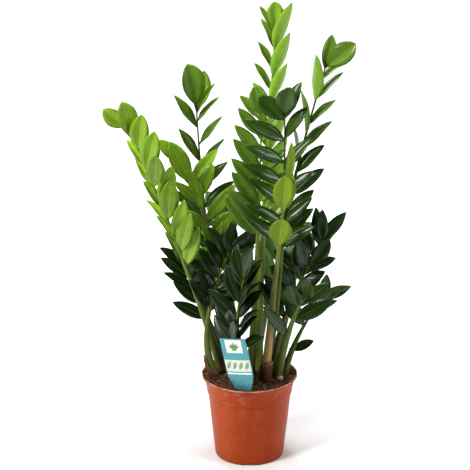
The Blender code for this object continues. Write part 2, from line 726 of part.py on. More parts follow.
def grow(fronds):
    """Leaflets of every frond, each stood clear of all that is there before it."""
    draw = random.Random(SEED)
    grid = blade_grid()
    tries = changes()
    stems = {name: stem_room(frond) for name, frond in fronds.items()}
    taken = guard_rooms()
    grown = {}
    for name, frond in fronds.items():
        others = taken + [room for stem, room in stems.items() if stem != name]
        own = []
        grown[name] = []
        for stance in stances(frond):
            sway = [draw.uniform(-reach, reach) * frond.sway for reach in LEAFLET_SWAY[:3]]
            sway.append(draw.uniform(-LEAFLET_SWAY[3], LEAFLET_SWAY[3]))
            for change in tries:
                moved = [a + b for a, b in zip(sway, change)]
                leaflet = leaflet_on(frond, stance, moved)
                near = blade_room(leaflet, grid, OWN_CLEARANCE, stalked=False)
                if any(meets(near, other) for other in own):
                    continue
                room = blade_room(leaflet, grid, BLADE_CLEARANCE)
                if not any(meets(room, other) for other in others):
                    own.append(near)
                    taken.append(room)
                    grown[name].append(leaflet)
                    break
    return grown, grid


def make_blade(name, leaflet, grid, collection):
    spots, faces, _ = grid
    mesh = bpy.data.meshes.new(name)
    mesh.from_pydata([blade_point(leaflet, *spot) for spot in spots], [], faces)
    blade = link(name, mesh, collection)
    solid = blade.modifiers.new("Thickness", "SOLIDIFY")
    solid.thickness = BLADE_THICKNESS
    solid.offset = 0.0
    solid.use_even_offset = True
    return blade


def make_frond(name, frond, leaflets, grid, parts):
    """One frond: its stem and rachis, with every blade joined to it."""
    finish = "foliage_" + frond.tone
    rings = [(stem_point(frond, s), stem_radius(frond, s)) for s in stem_stations()]
    stem = tube(name, rings, parts, finish)
    blades = new_collection(name + "_blades")
    for k, leaflet in enumerate(leaflets):
        make_blade(f"{name}_blade_{k}", leaflet, grid, blades)
    boolean(stem, "UNION", collection=blades, solver="MANIFOLD")
    made = meshed(stem)
    for blade in list(blades.objects):
        bpy.data.objects.remove(blade)
    bpy.data.collections.remove(blades)
    made.data.materials.clear()
    made.data.materials.append(material(finish))
    return made


def make_sheath(name, stem, parts):
    """Papery sheath that stands round the foot of a stem, open at one side, with a torn edge."""
    frond = FRONDS[stem]
    points = []
    climb = 2 * (frond.elbow[2] - SOIL_LEVEL)
    for row, column in itertools.product(range(SHEATH_ROWS + 1), range(SHEATH_COLUMNS + 1)):
        share, rise = column / SHEATH_COLUMNS, row / SHEATH_ROWS
        turn = SHEATHED[stem] + SHEATH_SPAN * (share - 0.5)
        torn = 0.70 + 0.30 * math.sin(math.pi * share) + 0.10 * math.sin(11 * share)
        height = between((-SHEATH_DEPTH, SHEATH_HEIGHT * torn), rise)
        centre = stem_point(frond, height / climb if height > 0 else height)
        reach = frond.stem + SHEATH_PLAY + SHEATH_FLARE * rise
        points.append(centre + Vector((math.cos(turn), math.sin(turn), 0)) * reach)
    faces = []
    for row, column in itertools.product(range(SHEATH_ROWS), range(SHEATH_COLUMNS)):
        a = row * (SHEATH_COLUMNS + 1) + column
        b = a + SHEATH_COLUMNS + 1
        faces.append((a, a + 1, b + 1, b))
    mesh = bpy.data.meshes.new(name)
    mesh.from_pydata(points, [], faces)
    sheath = link(name, mesh, parts, "dry_sheath")
    solid = sheath.modifiers.new("Thickness", "SOLIDIFY")
    solid.thickness = SHEATH_WALL
    solid.offset = 0.0
    return sheath


def label_axes():
    """Directions across the label, up it and out of its face."""
    up = LABEL_LEAN.normalized()
    across = (LABEL_ACROSS - up * LABEL_ACROSS.dot(up)).normalized()
    return across, up, across.cross(up)


def label_outline(grow_by):
    """Outline of the label in its own plane, from its top left round by its tapered foot."""
    half, tip = LABEL_WIDTH / 2 + grow_by, LABEL_TIP_WIDTH / 2 + grow_by
    top = LABEL_TAPER + LABEL_STRAIGHT + grow_by
    left = [(-half, top), (-half, LABEL_TAPER), (-tip, -grow_by)]
    return left + [(-x, y) for x, y in reversed(left)]


def make_label(name, collection, grow_by, finish=None):
    """A flat card with a tapered foot, from a filled outline."""
    outline = label_outline(grow_by)
    curve = bpy.data.curves.new(name, "CURVE")
    curve.dimensions = "2D"
    curve.fill_mode = "BOTH"
    curve.extrude = LABEL_THICKNESS / 2 + grow_by
    spline = curve.splines.new("POLY")
    spline.points.add(len(outline) - 1)
    for point, (x, y) in zip(spline.points, outline):
        point.co = (x, y, 0.0, 1.0)
    spline.use_cyclic_u = True
    obj = link(name, curve, collection)
    obj.matrix_world = Matrix.Translation(LABEL_FOOT) @ Matrix(label_axes()).transposed().to_4x4()
    made = meshed(obj)
    if finish:
        made.data.materials.clear()
        made.data.materials.append(material(finish))
    return made


def make_nub(name, collection, grow_by, finish=None):
    """Knobbly end of the rhizome."""
    shape = bmesh.new()
    bmesh.ops.create_icosphere(shape, subdivisions=2, radius=1.0)
    for vertex in shape.verts:
        swell = 1 + 0.10 * noise.noise(vertex.co * 2.1)
        size = NUB_SIZE * swell + Vector((grow_by, grow_by, grow_by))
        vertex.co = Vector([c * d for c, d in zip(vertex.co, size)])
    mesh = bpy.data.meshes.new(name)
    shape.to_mesh(mesh)
    shape.free()
    nub = link(name, mesh, collection, finish)
    nub.location = NUB_PLACE
    return nub


def main():
    clear_scene()
    parts = new_collection("potted_zz_plant")
    cutters = new_collection("cutters")
    holes = bpy.data.collections.new("soil_holes")
    cutters.children.link(holes)
    make_pot(parts, cutters)
    make_label("plant_label", parts, 0.0, "label_plastic")
    as_cutter(make_label("hole_label", holes, GAP))
    make_nub("tuber_nub", parts, 0.0, "tuber_skin")
    as_cutter(make_nub("hole_nub", holes, GAP))
    for name, frond in FRONDS.items():
        cut_stem_hole(name, frond, holes)
    make_soil(parts, holes)
    grown, grid = grow(FRONDS)
    for name, frond in FRONDS.items():
        make_frond(name, frond, grown[name], grid, parts)
    for k, stem in enumerate(SHEATHED):
        make_sheath(f"dry_sheath_{k + 1}", stem, parts)


main()
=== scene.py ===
"""Looks of a potted ZZ plant: glossy fronds, moulded pot, potting soil and label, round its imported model.

Metres, +Z up, and -Y is the front. The file is laid out as a Blender add-on and is run as a script.
"""

import itertools
import math
import random
from typing import NamedTuple

import bmesh
import bpy
from bpy.props import FloatProperty, FloatVectorProperty, PointerProperty
from bpy.types import Operator, Panel, PropertyGroup
from mathutils import Matrix, Vector, noise
from mathutils.bvhtree import BVHTree


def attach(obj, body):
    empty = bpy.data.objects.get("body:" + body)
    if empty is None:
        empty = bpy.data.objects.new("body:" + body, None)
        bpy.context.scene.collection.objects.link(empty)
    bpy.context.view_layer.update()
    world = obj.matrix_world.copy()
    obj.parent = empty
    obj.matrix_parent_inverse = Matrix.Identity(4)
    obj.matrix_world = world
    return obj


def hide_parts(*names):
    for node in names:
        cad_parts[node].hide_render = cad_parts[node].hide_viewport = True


bl_info = {
    "name": "Potted ZZ Plant",
    "version": (1, 0, 0),
    "blender": (4, 5, 0),
    "location": "View3D > Sidebar > Plant",
    "description": "Adds the fronds, pot, soil, label and stage of a potted ZZ plant",
    "category": "Add Mesh",
}

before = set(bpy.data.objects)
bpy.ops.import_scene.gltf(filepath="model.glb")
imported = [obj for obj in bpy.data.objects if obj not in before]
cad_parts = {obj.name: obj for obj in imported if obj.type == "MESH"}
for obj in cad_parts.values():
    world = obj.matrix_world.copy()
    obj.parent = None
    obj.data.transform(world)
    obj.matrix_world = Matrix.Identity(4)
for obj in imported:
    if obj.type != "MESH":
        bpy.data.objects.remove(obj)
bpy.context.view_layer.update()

# Pot
POT_HEIGHT = 0.172
RIM_RADIUS = 0.0950
FOOT_RADIUS = 0.0690
FLOOR_TOP = 0.0065
CHANNEL_CEILING = 0.0045
TURNED_STEPS = 32
NOTCHES = 4
NOTCH_WIDTH = 0.030
NOTCH_HEIGHT = 0.0042
NOTCH_REACH = 0.020
DRAIN_HOLES = 6
DRAIN_RADIUS = 0.0045
DRAIN_RING = 0.045

# Soil
SOIL_LEVEL = 0.168
SOIL_MOUND = 0.003
SOIL_LUMP = 0.0022
SOIL_LUMP_SCALE = 55.0
GAP = 0.0004
STEM_DEPTH = 0.030

# Label
LABEL_WIDTH = 0.054
LABEL_STRAIGHT = 0.084
LABEL_TAPER = 0.060
LABEL_TIP_WIDTH = 0.012
LABEL_THICKNESS = 0.0009
LABEL_FOOT = Vector((-0.0065, -0.0760, 0.1430))
LABEL_LEAN = Vector((-0.20, -0.12, 1.0))
LABEL_ACROSS = Vector((1.0, -0.40, 0.0))

# Tuber nub and dry sheaths
NUB_PLACE = Vector((0.0590, -0.0300, 0.1725))
NUB_SIZE = Vector((0.0068, 0.0060, 0.0062))
SHEATH_HEIGHT = 0.046
SHEATH_DEPTH = 0.008
SHEATH_PLAY = 0.0014
SHEATH_FLARE = 0.0010
SHEATH_SPAN = math.radians(215)

# Fronds
STEM_POINTS = 9
STEM_SIDES = 6
RACHIS_TIP_RADIUS = 0.0013
STEM_TAPER = 1.25
BLADE_THICKNESS = 0.0012
BLADE_STATIONS = (0.0, 0.24, 0.64, 1.0)
BLADE_STALK = 0.0016
BLADE_FOLD = math.radians(14)
BLADE_CLEARANCE = 0.0014
OWN_CLEARANCE = 0.0002
STEM_CLEARANCE = 0.0012
LABEL_ROOM = 0.003
RIM_ROOM = 0.004
LEAFLET_SWAY = (5, 5, 10, 0.06)
LOOK_UP = 0.25
ROOT_OUT = 0.6
SEED = 7

# What a leaflet may change to clear its neighbours: degrees, and a scale
SPLAY_TRIES = (0, 9, -9, 20, -20)
AZIMUTH_TRIES = (0, 18, -18, 40, -40)
ROLL_TRIES = (0, 22, -22, 45, -45)
SCALE_TRIES = (1.0, 0.86, 0.72)

# Fineness and small forms of the finished pieces
SOIL_EDGE = 0.1695
SOIL_HEAP = 0.0022
HEAP_START = 0.80
HEAP_RUN = 0.16
LABEL_CORNER = 0.0025
ROW_CROWDING = 1.35
SHEATH_PAPER = 0.0005
LEAF_EASE = 0.07
LEAF_WAVES = 9.0
LEAF_LEAN = 0.05
JOINT_SWELL = 0.10
JOINT_REACH = 0.004
FRESH_RISE = 1.2
SHARP_POT = math.radians(38)
SHARP_LABEL = math.radians(40)

# Lumps and creases: how far they stand out, and how close they are
CLODS = (0.0011, 150.0)
GRAINS = (0.0005, 620.0)
NUB_SWELL = (0.10, 2.1)
NUB_DIMPLES = (0.025, 7.0)
NUB_RINGS = (0.012, 16)
SHEATH_WAVES = (0.08, 11)
SHEATH_TEETH = (0.16, 9.0)
SHEATH_CREASES = (0.0011, 12.0)
SHEATH_CURL = (0.0016, 6.0)
CURL_START = 0.6

STEM_SPANS = 84
STEM_ROUND = 12
LEAF_SPANS = 10
LEAF_COLUMNS = 4
POT_ROUND = 160
SOIL_ROUND = 176
SOIL_RINGS = 60
SHEATH_GRID = (44, 26)
LABEL_GRID = (12, 44)
COLLAR_FOOT = 0.1306

# Print on the label: low edge, high edge and half-width of its patches on the card, and its leaves
PANEL = (0.1125, 0.1415, 0.0170)
BAND = (0.0700, 0.0965, 0.0265)
LINE = (0.0640, 0.0672, 0.0250)
SPRIG_FOOT = (0.1175, 0.1205, 0.0050)
SPRIG_SLANTS = (-54, -27, 0, 27, 54)
SPRIG_LEAF = (0.0072, 0.0021)
ROW_LEAF = (0.0095, 0.0036)
ROW_LEAN = math.radians(64)
ROW_HEIGHT = 0.0835
ROW_PLACES = tuple(-0.0190 + 0.0127 * k for k in range(4))

# Litter on the soil, and the part of the lip where some is spilled, in degrees
CRUMBS = {"Seed": 3, "Least": 0.0004}
WOOD_CHIPS = {
    "Seed": 11, "Density": 11000.0, "Least": 0.0008, "Most": 0.0022, "Sink": 0.0006,
    "Stretch": Vector((2.6, 1.0, 0.5)),
}
FIBRES = {"Seed": 5, "Density": 16000.0}
SPILL_START = 140
SPILL_SPAN = 95
SPILL_STEPS = 24

# Stage: lamps with their place, aim, size and power
LAMPS = (
    ("window_left", (-1.9, -1.5, 2.0), (0.0, 0.0, 0.45), (0.8, 1.1), 92.0),
    ("window_right", (2.1, -0.9, 1.3), (0.0, 0.0, 0.40), (0.6, 1.5), 30.0),
    ("overhead", (0.1, 0.2, 2.6), (0.0, 0.0, 0.4), (1.0, 1.0), 50.0),
    ("back", (-0.8, 2.0, 1.9), (0.0, 0.0, 0.5), (1.0, 1.0), 20.0),
)
WORLD_LIGHT = 0.12
FLOOR_REACH = 9.0
FLOOR_GLOW = 0.92
GLOW_START = 0.25
GLOW_FULL = 1.50
# The floor darkens towards the camera, below the edge of the picture
DARK_START = 0.35
DARK_FULL = 1.00
DARK_SHARE = 0.85

# Gloss of the leaves under their wax
LEAF_SPECULAR = 0.12
# How much lighter or darker than the settings' colour the stems of a tone are
STEM_SHADES = {"dark": 0.72, "deep": 0.72, "fresh": 1.45}

# How fresh the top of a frond is, for the fronds with fresh tops
FRESH_TOPS = {
    "frond_dark_feathered": 0.85, "frond_right_arching": 0.95, "frond_centre_left": 0.35,
    "frond_centre_dark": 0.04,
}
# Share of a stem's height from which its leaflets get fresher
FRESH_FROM = 0.66
# Heights between which the foliage goes from shaded to full colour
SHADE_LOW = 0.34
SHADE_HIGH = 0.56


class Stance(NamedTuple):
    """How a leaflet stands on its stem. Angles are in degrees."""

    share: float  # of the stem below it
    azimuth: float  # the way that it leans: 0 to the frond's front, 90 to the right, -90 to the left
    splay: float  # how far it leans from the stem
    roll: float  # 0 shows its upper side to the front, 90 its edge and 180 its underside
    length: float
    width: float  # as a share of its length


class Rank(NamedTuple):
    """A row of leaflets up a stem: how many, and how the lowest and the highest stand."""

    count: int
    lowest: tuple
    highest: tuple


class Frond(NamedTuple):
    """One frond: where its stem runs, and how its leaflets stand on it."""

    base: tuple  # where the stem leaves the soil
    elbow: tuple  # the point that the stem bows towards
    tip: tuple  # the end of the rachis
    stem: float  # radius at the soil
    tone: str
    crown: tuple  # the leaflets that stand by themselves
    ranks: tuple = ()  # the leaflets that stand in rows
    facing: float = 0  # degrees: the front looks at 0 front, 90 right, 180 back
    bend: float = 14  # degrees by which a blade curls back along its length
    sway: float = 1  # how unruly its leaflets are: 1 for the tidy ones


class Leaflet(NamedTuple):
    """One blade: its root on the rachis, its three directions and its size."""

    root: Vector
    along: Vector
    across: Vector
    upper: Vector
    length: float
    width: float
    bend: float
    rise: float  # powers of its outline: from the root, and to the tip
    fall: float


# In the order in which they take their room
FRONDS = {
    "frond_front_young": Frond(
        base=(0.030, -0.033), elbow=(0.050, -0.053, 0.427), tip=(0.068, -0.072, 0.592),
        stem=0.0095, bend=10, sway=0.3, tone="young",
        crown=(
            (0.635, -8, 13, 0, 0.064, 0.76), (0.825, -22, 12, 2, 0.076, 0.60),
            (0.84, 55, 16, 10, 0.070, 0.48), (1.0, -10, 3, 30, 0.080, 0.29),
        ),
    ),
    "frond_right_low_front": Frond(
        base=(0.054, -0.012), elbow=(0.077, -0.046, 0.310), tip=(0.106, -0.065, 0.358),
        stem=0.0105, tone="dark",
        crown=(
            (0.42, -80, 44, 40, 0.096, 0.28), (0.60, 120, 46, 20, 0.084, 0.40),
            (0.80, -62, 50, 0, 0.054, 0.78), (0.93, -100, 30, 30, 0.050, 0.44),
            (1.0, -30, 40, 0, 0.058, 0.66), (0.86, 125, 34, 10, 0.066, 0.44),
        ),
    ),
    "frond_centre_dark": Frond(
        base=(0.024, -0.010), elbow=(0.069, -0.030, 0.318), tip=(0.063, -0.045, 0.712),
        stem=0.0100, tone="dark",
        ranks=(
            Rank(6, (0.64, -75, 52, 40, 0.084, 0.32), (0.935, -72, 58, 35, 0.090, 0.33)),
            Rank(5, (0.62, 80, 44, 40, 0.074, 0.40), (0.94, 80, 32, 50, 0.074, 0.36)),
        ),
        crown=(
            (0.985, -75, 46, 10, 0.064, 0.56), (0.99, 80, 24, 40, 0.072, 0.40),
            (1.0, 10, 14, 0, 0.062, 0.72),
        ),
    ),
    "frond_left_arching": Frond(
        base=(-0.058, 0.034), elbow=(-0.095, -0.005, 0.333), tip=(-0.228, -0.040, 0.690),
        stem=0.0095, tone="light",
        ranks=(
            Rank(8, (0.54, 60, 34, 14, 0.092, 0.38), (0.93, 55, 38, 8, 0.078, 0.54)),
            Rank(7, (0.55, -140, 16, 60, 0.070, 0.40), (0.95, -135, 17, 50, 0.060, 0.42)),
        ),
        crown=((0.965, 30, 22, 0, 0.072, 0.56), (0.995, -75, 22, 0, 0.060, 0.62)),
    ),
    "frond_centre_left": Frond(
        base=(0.000, -0.022), elbow=(0.012, -0.020, 0.313), tip=(0.021, -0.015, 0.707),
        stem=0.0100, tone="mid",
        ranks=(
            Rank(7, (0.66, -70, 40, 12, 0.100, 0.36), (0.945, -75, 40, 20, 0.066, 0.38)),
            Rank(4, (0.68, 70, 40, 20, 0.080, 0.40), (0.93, 70, 36, 30, 0.066, 0.40)),
        ),
        crown=((0.985, -80, 44, 30, 0.062, 0.40), (1.0, -40, 26, 0, 0.060, 0.62)),
    ),
    "frond_right_arching": Frond(
        base=(0.047, 0.040), elbow=(0.027, 0.042, 0.376), tip=(0.143, 0.052, 0.780),
        stem=0.0100, bend=10, tone="dark",
        ranks=(
            Rank(7, (0.53, 80, 36, 30, 0.080, 0.40), (0.922, 90, 24, 66, 0.072, 0.34)),
            Rank(5, (0.58, -60, 22, 30, 0.080, 0.32), (0.915, -60, 18, 150, 0.096, 0.32)),
        ),
        crown=(
            (0.97, 90, 30, 72, 0.078, 0.36), (0.995, -60, 4, 0, 0.066, 0.42),
            (1.0, 70, 34, 0, 0.076, 0.60),
        ),
    ),
    "frond_tallest": Frond(
        base=(0.016, 0.022), elbow=(0.017, 0.025, 0.359), tip=(0.047, 0.030, 0.858),
        stem=0.0120, bend=10, sway=0.5, tone="fresh",
        ranks=(
            Rank(11, (0.54, -90, 40, 40, 0.074, 0.38), (0.96, -110, 28, 60, 0.060, 0.40)),
            Rank(9, (0.52, 55, 28, 160, 0.092, 0.34), (0.96, 45, 17, 155, 0.096, 0.30)),
        ),
        crown=(
            (0.985, -95, 26, 60, 0.060, 0.38), (0.99, 110, 20, 50, 0.060, 0.36),
            (1.0, -20, 12, 0, 0.053, 0.66),
        ),
    ),
    "frond_dark_feathered": Frond(
        base=(-0.030, 0.040), elbow=(-0.083, 0.065, 0.294), tip=(-0.104, 0.090, 0.695),
        stem=0.0095, bend=8, tone="dark",
        ranks=(
            Rank(8, (0.54, 75, 56, 25, 0.088, 0.40), (0.960, 90, 42, 76, 0.066, 0.34)),
            Rank(6, (0.50, -75, 50, 30, 0.088, 0.40), (0.945, -90, 24, 60, 0.074, 0.36)),
        ),
        crown=(
            (0.98, 90, 30, 74, 0.070, 0.36), (0.985, -90, 16, 74, 0.068, 0.36),
            (0.99, 115, 14, 0, 0.084, 0.48),
            (1.0, -20, 6, 0, 0.086, 0.62),
        ),
    ),
    "frond_back_left": Frond(
        base=(-0.030, 0.010), elbow=(-0.072, 0.030, 0.520), tip=(-0.140, 0.035, 0.598),
        stem=0.0085, tone="light",
        ranks=(
            Rank(3, (0.38, -60, 40, 20, 0.072, 0.38), (0.67, -40, 30, 20, 0.078, 0.30)),
        ),
        crown=(
            (0.36, 80, 60, 15, 0.080, 0.38), (0.40, -12, 18, 10, 0.076, 0.27),
            (0.43, 30, 34, 20, 0.076, 0.28), (0.48, 70, 50, 0, 0.066, 0.60),
            (0.57, 85, 66, 12, 0.094, 0.34), (0.64, 10, 14, 5, 0.080, 0.34),
            (0.70, 70, 40, 10, 0.074, 0.40), (0.80, 80, 60, 20, 0.086, 0.34),
            (0.81, -10, 12, 5, 0.092, 0.46), (1.0, 20, 12, 5, 0.056, 0.50),
        ),
    ),
    "frond_middle_dark": Frond(
        base=(-0.022, -0.046), elbow=(-0.034, -0.054, 0.290), tip=(-0.012, -0.058, 0.392),
        stem=0.0085, facing=-38, sway=2.4, tone="deep",
        ranks=(
            Rank(7, (0.30, 80, 46, 40, 0.086, 0.36), (0.94, 80, 30, 30, 0.084, 0.36)),
            Rank(5, (0.30, -80, 50, 40, 0.086, 0.36), (0.92, -80, 34, 36, 0.080, 0.38)),
        ),
        crown=(
            (0.34, 30, 44, 10, 0.084, 0.36), (0.54, 12, 40, 0, 0.084, 0.34),
            (0.74, 40, 38, 5, 0.080, 0.36), (0.98, -60, 16, 20, 0.070, 0.44),
            (1.0, 30, 12, 0, 0.074, 0.46),
        ),
    ),
    "frond_left_low_front": Frond(
        base=(-0.068, -0.010), elbow=(-0.112, -0.010, 0.268), tip=(-0.038, 0.000, 0.430),
        stem=0.0095, facing=25, sway=2.2, tone="deep",
        ranks=(
            Rank(6, (0.60, 75, 50, 35, 0.080, 0.40), (0.95, 75, 34, 40, 0.080, 0.38)),
            Rank(6, (0.62, -75, 55, 30, 0.080, 0.42), (0.95, -75, 40, 30, 0.078, 0.40)),
        ),
        crown=((0.98, -60, 16, 20, 0.070, 0.46), (1.0, 40, 12, 0, 0.074, 0.46)),
    ),
    "frond_right_low_rear": Frond(
        base=(0.069, 0.001), elbow=(0.090, 0.002, 0.259), tip=(0.143, 0.000, 0.328),
        stem=0.0080, tone="dark",
        crown=(
            (0.29, 85, 36, 30, 0.046, 0.48), (0.62, -70, 60, 10, 0.074, 0.44),
            (0.78, 120, 30, 40, 0.060, 0.40), (0.93, -50, 22, 20, 0.070, 0.42),
            (0.98, 20, 16, 0, 0.056, 0.42), (1.0, 70, 6, 20, 0.066, 0.40),
        ),
    ),
    "frond_right_dark": Frond(
        base=(0.067, 0.022), elbow=(0.048, 0.040, 0.267), tip=(0.143, 0.050, 0.435),
        stem=0.0085, tone="deep",
        ranks=(
            Rank(3, (0.62, 80, 24, 40, 0.070, 0.38), (0.92, 85, 14, 60, 0.062, 0.34)),
            Rank(4, (0.55, -70, 60, 10, 0.080, 0.44), (0.90, -70, 62, 8, 0.076, 0.46)),
        ),
        crown=(
            (0.965, -70, 40, 10, 0.076, 0.36), (0.99, -50, 30, 0, 0.068, 0.42),
            (1.0, 70, 18, 5, 0.076, 0.38),
        ),
    ),
    "frond_right_middle": Frond(
        base=(0.044, 0.012), elbow=(0.064, 0.010, 0.310), tip=(0.118, 0.010, 0.395),
        stem=0.0085, bend=12, sway=1.5, tone="deep",
        ranks=(
            Rank(3, (0.56, 80, 30, 40, 0.070, 0.44), (0.93, 80, 24, 50, 0.066, 0.42)),
            Rank(5, (0.46, -65, 52, 24, 0.096, 0.34), (0.94, -70, 44, 16, 0.080, 0.42)),
        ),
        crown=((1.0, 10, 10, 0, 0.062, 0.52),),
    ),
    "frond_left_low_rear": Frond(
        base=(-0.047, 0.054), elbow=(-0.106, 0.052, 0.325), tip=(-0.128, 0.036, 0.385),
        stem=0.0085, sway=1.8, tone="deep",
        ranks=(
            Rank(5, (0.40, 75, 40, 30, 0.080, 0.40), (0.95, 75, 24, 30, 0.076, 0.40)),
            Rank(5, (0.36, -85, 36, 40, 0.076, 0.36), (0.95, -85, 20, 45, 0.074, 0.38)),
        ),
        crown=((1.0, -40, 10, 10, 0.066, 0.46),),
    ),
    "frond_rear_left": Frond(
        base=(-0.018, 0.066), elbow=(-0.040, 0.120, 0.330), tip=(-0.070, 0.190, 0.430),
        stem=0.0090, facing=170, bend=16, sway=2, tone="deep",
        ranks=(
            Rank(4, (0.40, 80, 46, 30, 0.086, 0.46), (0.94, 80, 32, 30, 0.078, 0.44)),
            Rank(4, (0.44, -80, 46, 30, 0.086, 0.46), (0.96, -80, 32, 30, 0.076, 0.44)),
        ),
        crown=((0.98, -60, 20, 10, 0.066, 0.50), (1.0, 30, 10, 0, 0.068, 0.52)),
    ),
    "frond_rear_right": Frond(
        base=(0.014, 0.066), elbow=(0.040, 0.130, 0.300), tip=(0.080, 0.205, 0.390),
        stem=0.0090, facing=190, bend=16, sway=2, tone="deep",
        ranks=(
            Rank(4, (0.40, 80, 46, 30, 0.086, 0.46), (0.94, 80, 32, 30, 0.078, 0.44)),
            Rank(3, (0.50, -80, 44, 30, 0.086, 0.46), (0.96, -80, 32, 30, 0.076, 0.44)),
        ),
        crown=((0.98, -60, 20, 10, 0.066, 0.50), (1.0, 30, 10, 0, 0.068, 0.52)),
    ),
}
# Way that each dry sheath faces, its general height, and the place and width of its tallest flake
SHEATHED = {
    "frond_front_young": (math.radians(-90), 0.66, 0.50, 0.40),
    "frond_left_low_front": (math.radians(-50), 0.34, 0.12, 0.09),
}


def colour_property(name, description, default):
    return FloatVectorProperty(
        name=name, description=description, subtype="COLOR", size=3, min=0.0, max=1.0, default=default,
    )


def length_property(name, description, default, **limits):
    return FloatProperty(
        name=name, description=description, subtype="DISTANCE", unit="LENGTH", precision=5,
        default=default, **limits,
    )


def share_property(name, description, default):
    return FloatProperty(
        name=name, description=description, subtype="FACTOR", min=0.0, max=1.0, default=default,
    )


def number_property(name, description, default):
    return FloatProperty(name=name, description=description, min=0.0, default=default)


class PotSettings(PropertyGroup):
    """Moulded pot."""

    plastic: colour_property("Plastic", "Colour of the moulded plastic", (0.255, 0.029, 0.003))
    # Paler plastic: the colour of the flow streaks and mottle, and of the painted light on the pot's lit
    # sides
    sunned: colour_property("Sunned", "Colour of the plastic where it is bleached", (0.42, 0.072, 0.012))
    dust_tint: colour_property("Dust tint", "Colour of dried soil and dust", (0.46, 0.27, 0.17))
    dust: share_property("Dust", "How much of the collar and lip is dusty", 0.35)


class SoilSettings(PropertyGroup):
    """Potting soil and what lies loose on it."""

    peat: colour_property("Peat", "Colour of the dark potting mix", (0.013, 0.008, 0.006))
    fibre: colour_property("Fibre", "Colour of the loose fibres", (0.36, 0.180, 0.065))
    chip: colour_property("Chip", "Colour of the wood chips", (0.13, 0.062, 0.028))
    crumbs: number_property("Crumbs", "Crumbs on each square metre", 150000.0)
    crumb_size: length_property("Crumb size", "Half the width of the largest crumbs", 0.0021, min=0.0)


class LabelSettings(PropertyGroup):
    """Printed plant label."""

    card: colour_property("Card", "Main colour of the label", (0.035, 0.260, 0.300))
    panel: colour_property("Panel", "Colour of the pale panel", (0.80, 0.76, 0.66))
    band: colour_property("Band", "Colour of the band of leaves", (0.62, 0.66, 0.56))
    sprig: colour_property("Sprig", "Colour of the printed leaves", (0.05, 0.20, 0.06))
    bow: length_property("Bow", "How far the middle of the card stands out", 0.0012, min=0.0)


class FoliageSettings(PropertyGroup):
    """Fronds, from the palest to the darkest growth."""

    young: colour_property("Young", "Leaf colour of the newest frond", (0.165, 0.262, 0.012))
    light: colour_property("Light", "Leaf colour of pale fronds", (0.190, 0.334, 0.014))
    fresh: colour_property("Fresh", "Leaf colour of fresh fronds", (0.176, 0.330, 0.019))
    mid: colour_property("Middle", "Leaf colour of full-grown fronds", (0.094, 0.202, 0.011))
    dark: colour_property("Dark", "Leaf colour of old fronds", (0.018, 0.056, 0.003))
    deep: colour_property("Deep", "Leaf colour of shaded fronds", (0.013, 0.040, 0.006))
    stem: colour_property("Stem", "Colour of the stems", (0.104, 0.154, 0.016))
    tan: colour_property("Tan stem", "Colour of the newest stem", (0.300, 0.190, 0.070))
    fleck: colour_property("Fleck", "Colour of the flecks on the stems", (0.040, 0.075, 0.020))
    thickness: length_property("Thickness", "Thickness of a leaflet along its middle", 0.0011, min=0.0)
    gloss: share_property("Gloss", "How much waxy gloss the leaflets have", 0.30)


class StageSettings(PropertyGroup):
    """Camera, lights and floor."""

    distance: length_property("Distance", "How far in front of the plant the camera stands", 2.8, min=0.0)
    height: length_property("Height", "How high the camera stands", 1.411, min=0.0)
    aside: length_property("Aside", "How far right of the middle the camera stands", -0.029)
    tilt: FloatProperty(
        name="Tilt", description="How far the camera looks down", subtype="ANGLE", unit="ROTATION",
        default=math.radians(18.75),
    )
    lens: FloatProperty(name="Lens", description="Focal length in millimetres", min=1.0, default=117.4)
    floor: colour_property("Floor", "Colour of the floor", (0.90, 0.90, 0.90))
    light: number_property("Light", "Strength of the lights, 1 as designed", 1.0)


class PlantSettings(PropertyGroup):
    """All settings of the potted plant."""

    pot: PointerProperty(type=PotSettings)
    soil: PointerProperty(type=SoilSettings)
    label: PointerProperty(type=LabelSettings)
    foliage: PointerProperty(type=FoliageSettings)
    stage: PointerProperty(type=StageSettings)


def pick_socket(sockets, key):
    """Socket by name, or by its place among those that are in use."""
    used = [socket for socket in sockets if socket.enabled]
    return used[key] if isinstance(key, int) else next(one for one in used if one.name == key)


def is_vector(item):
    return isinstance(item, Vector) or (isinstance(item, Value) and item.socket.type == "VECTOR")


def maths(kind, swapped=False):
    """Method that adds a maths node: Math on numbers and Vector Math on vectors.

    The value is its first input, or its last if swapped. A number times a vector scales it.
    """

    def method(value, *others):
        items = (*others, value) if swapped else (value, *others)
        vectors = [item for item in items if is_vector(item)]
        if not vectors:
            return value.tree.node("ShaderNodeMath", items, operation=kind)
        if kind == "MULTIPLY" and len(vectors) < len(items):
            number = next(item for item in items if item not in vectors)
            scaling = {"Vector": vectors[0], "Scale": number}
            return value.tree.node("ShaderNodeVectorMath", scaling, operation="SCALE")
        return value.tree.node("ShaderNodeVectorMath", items, operation=kind)

    return method


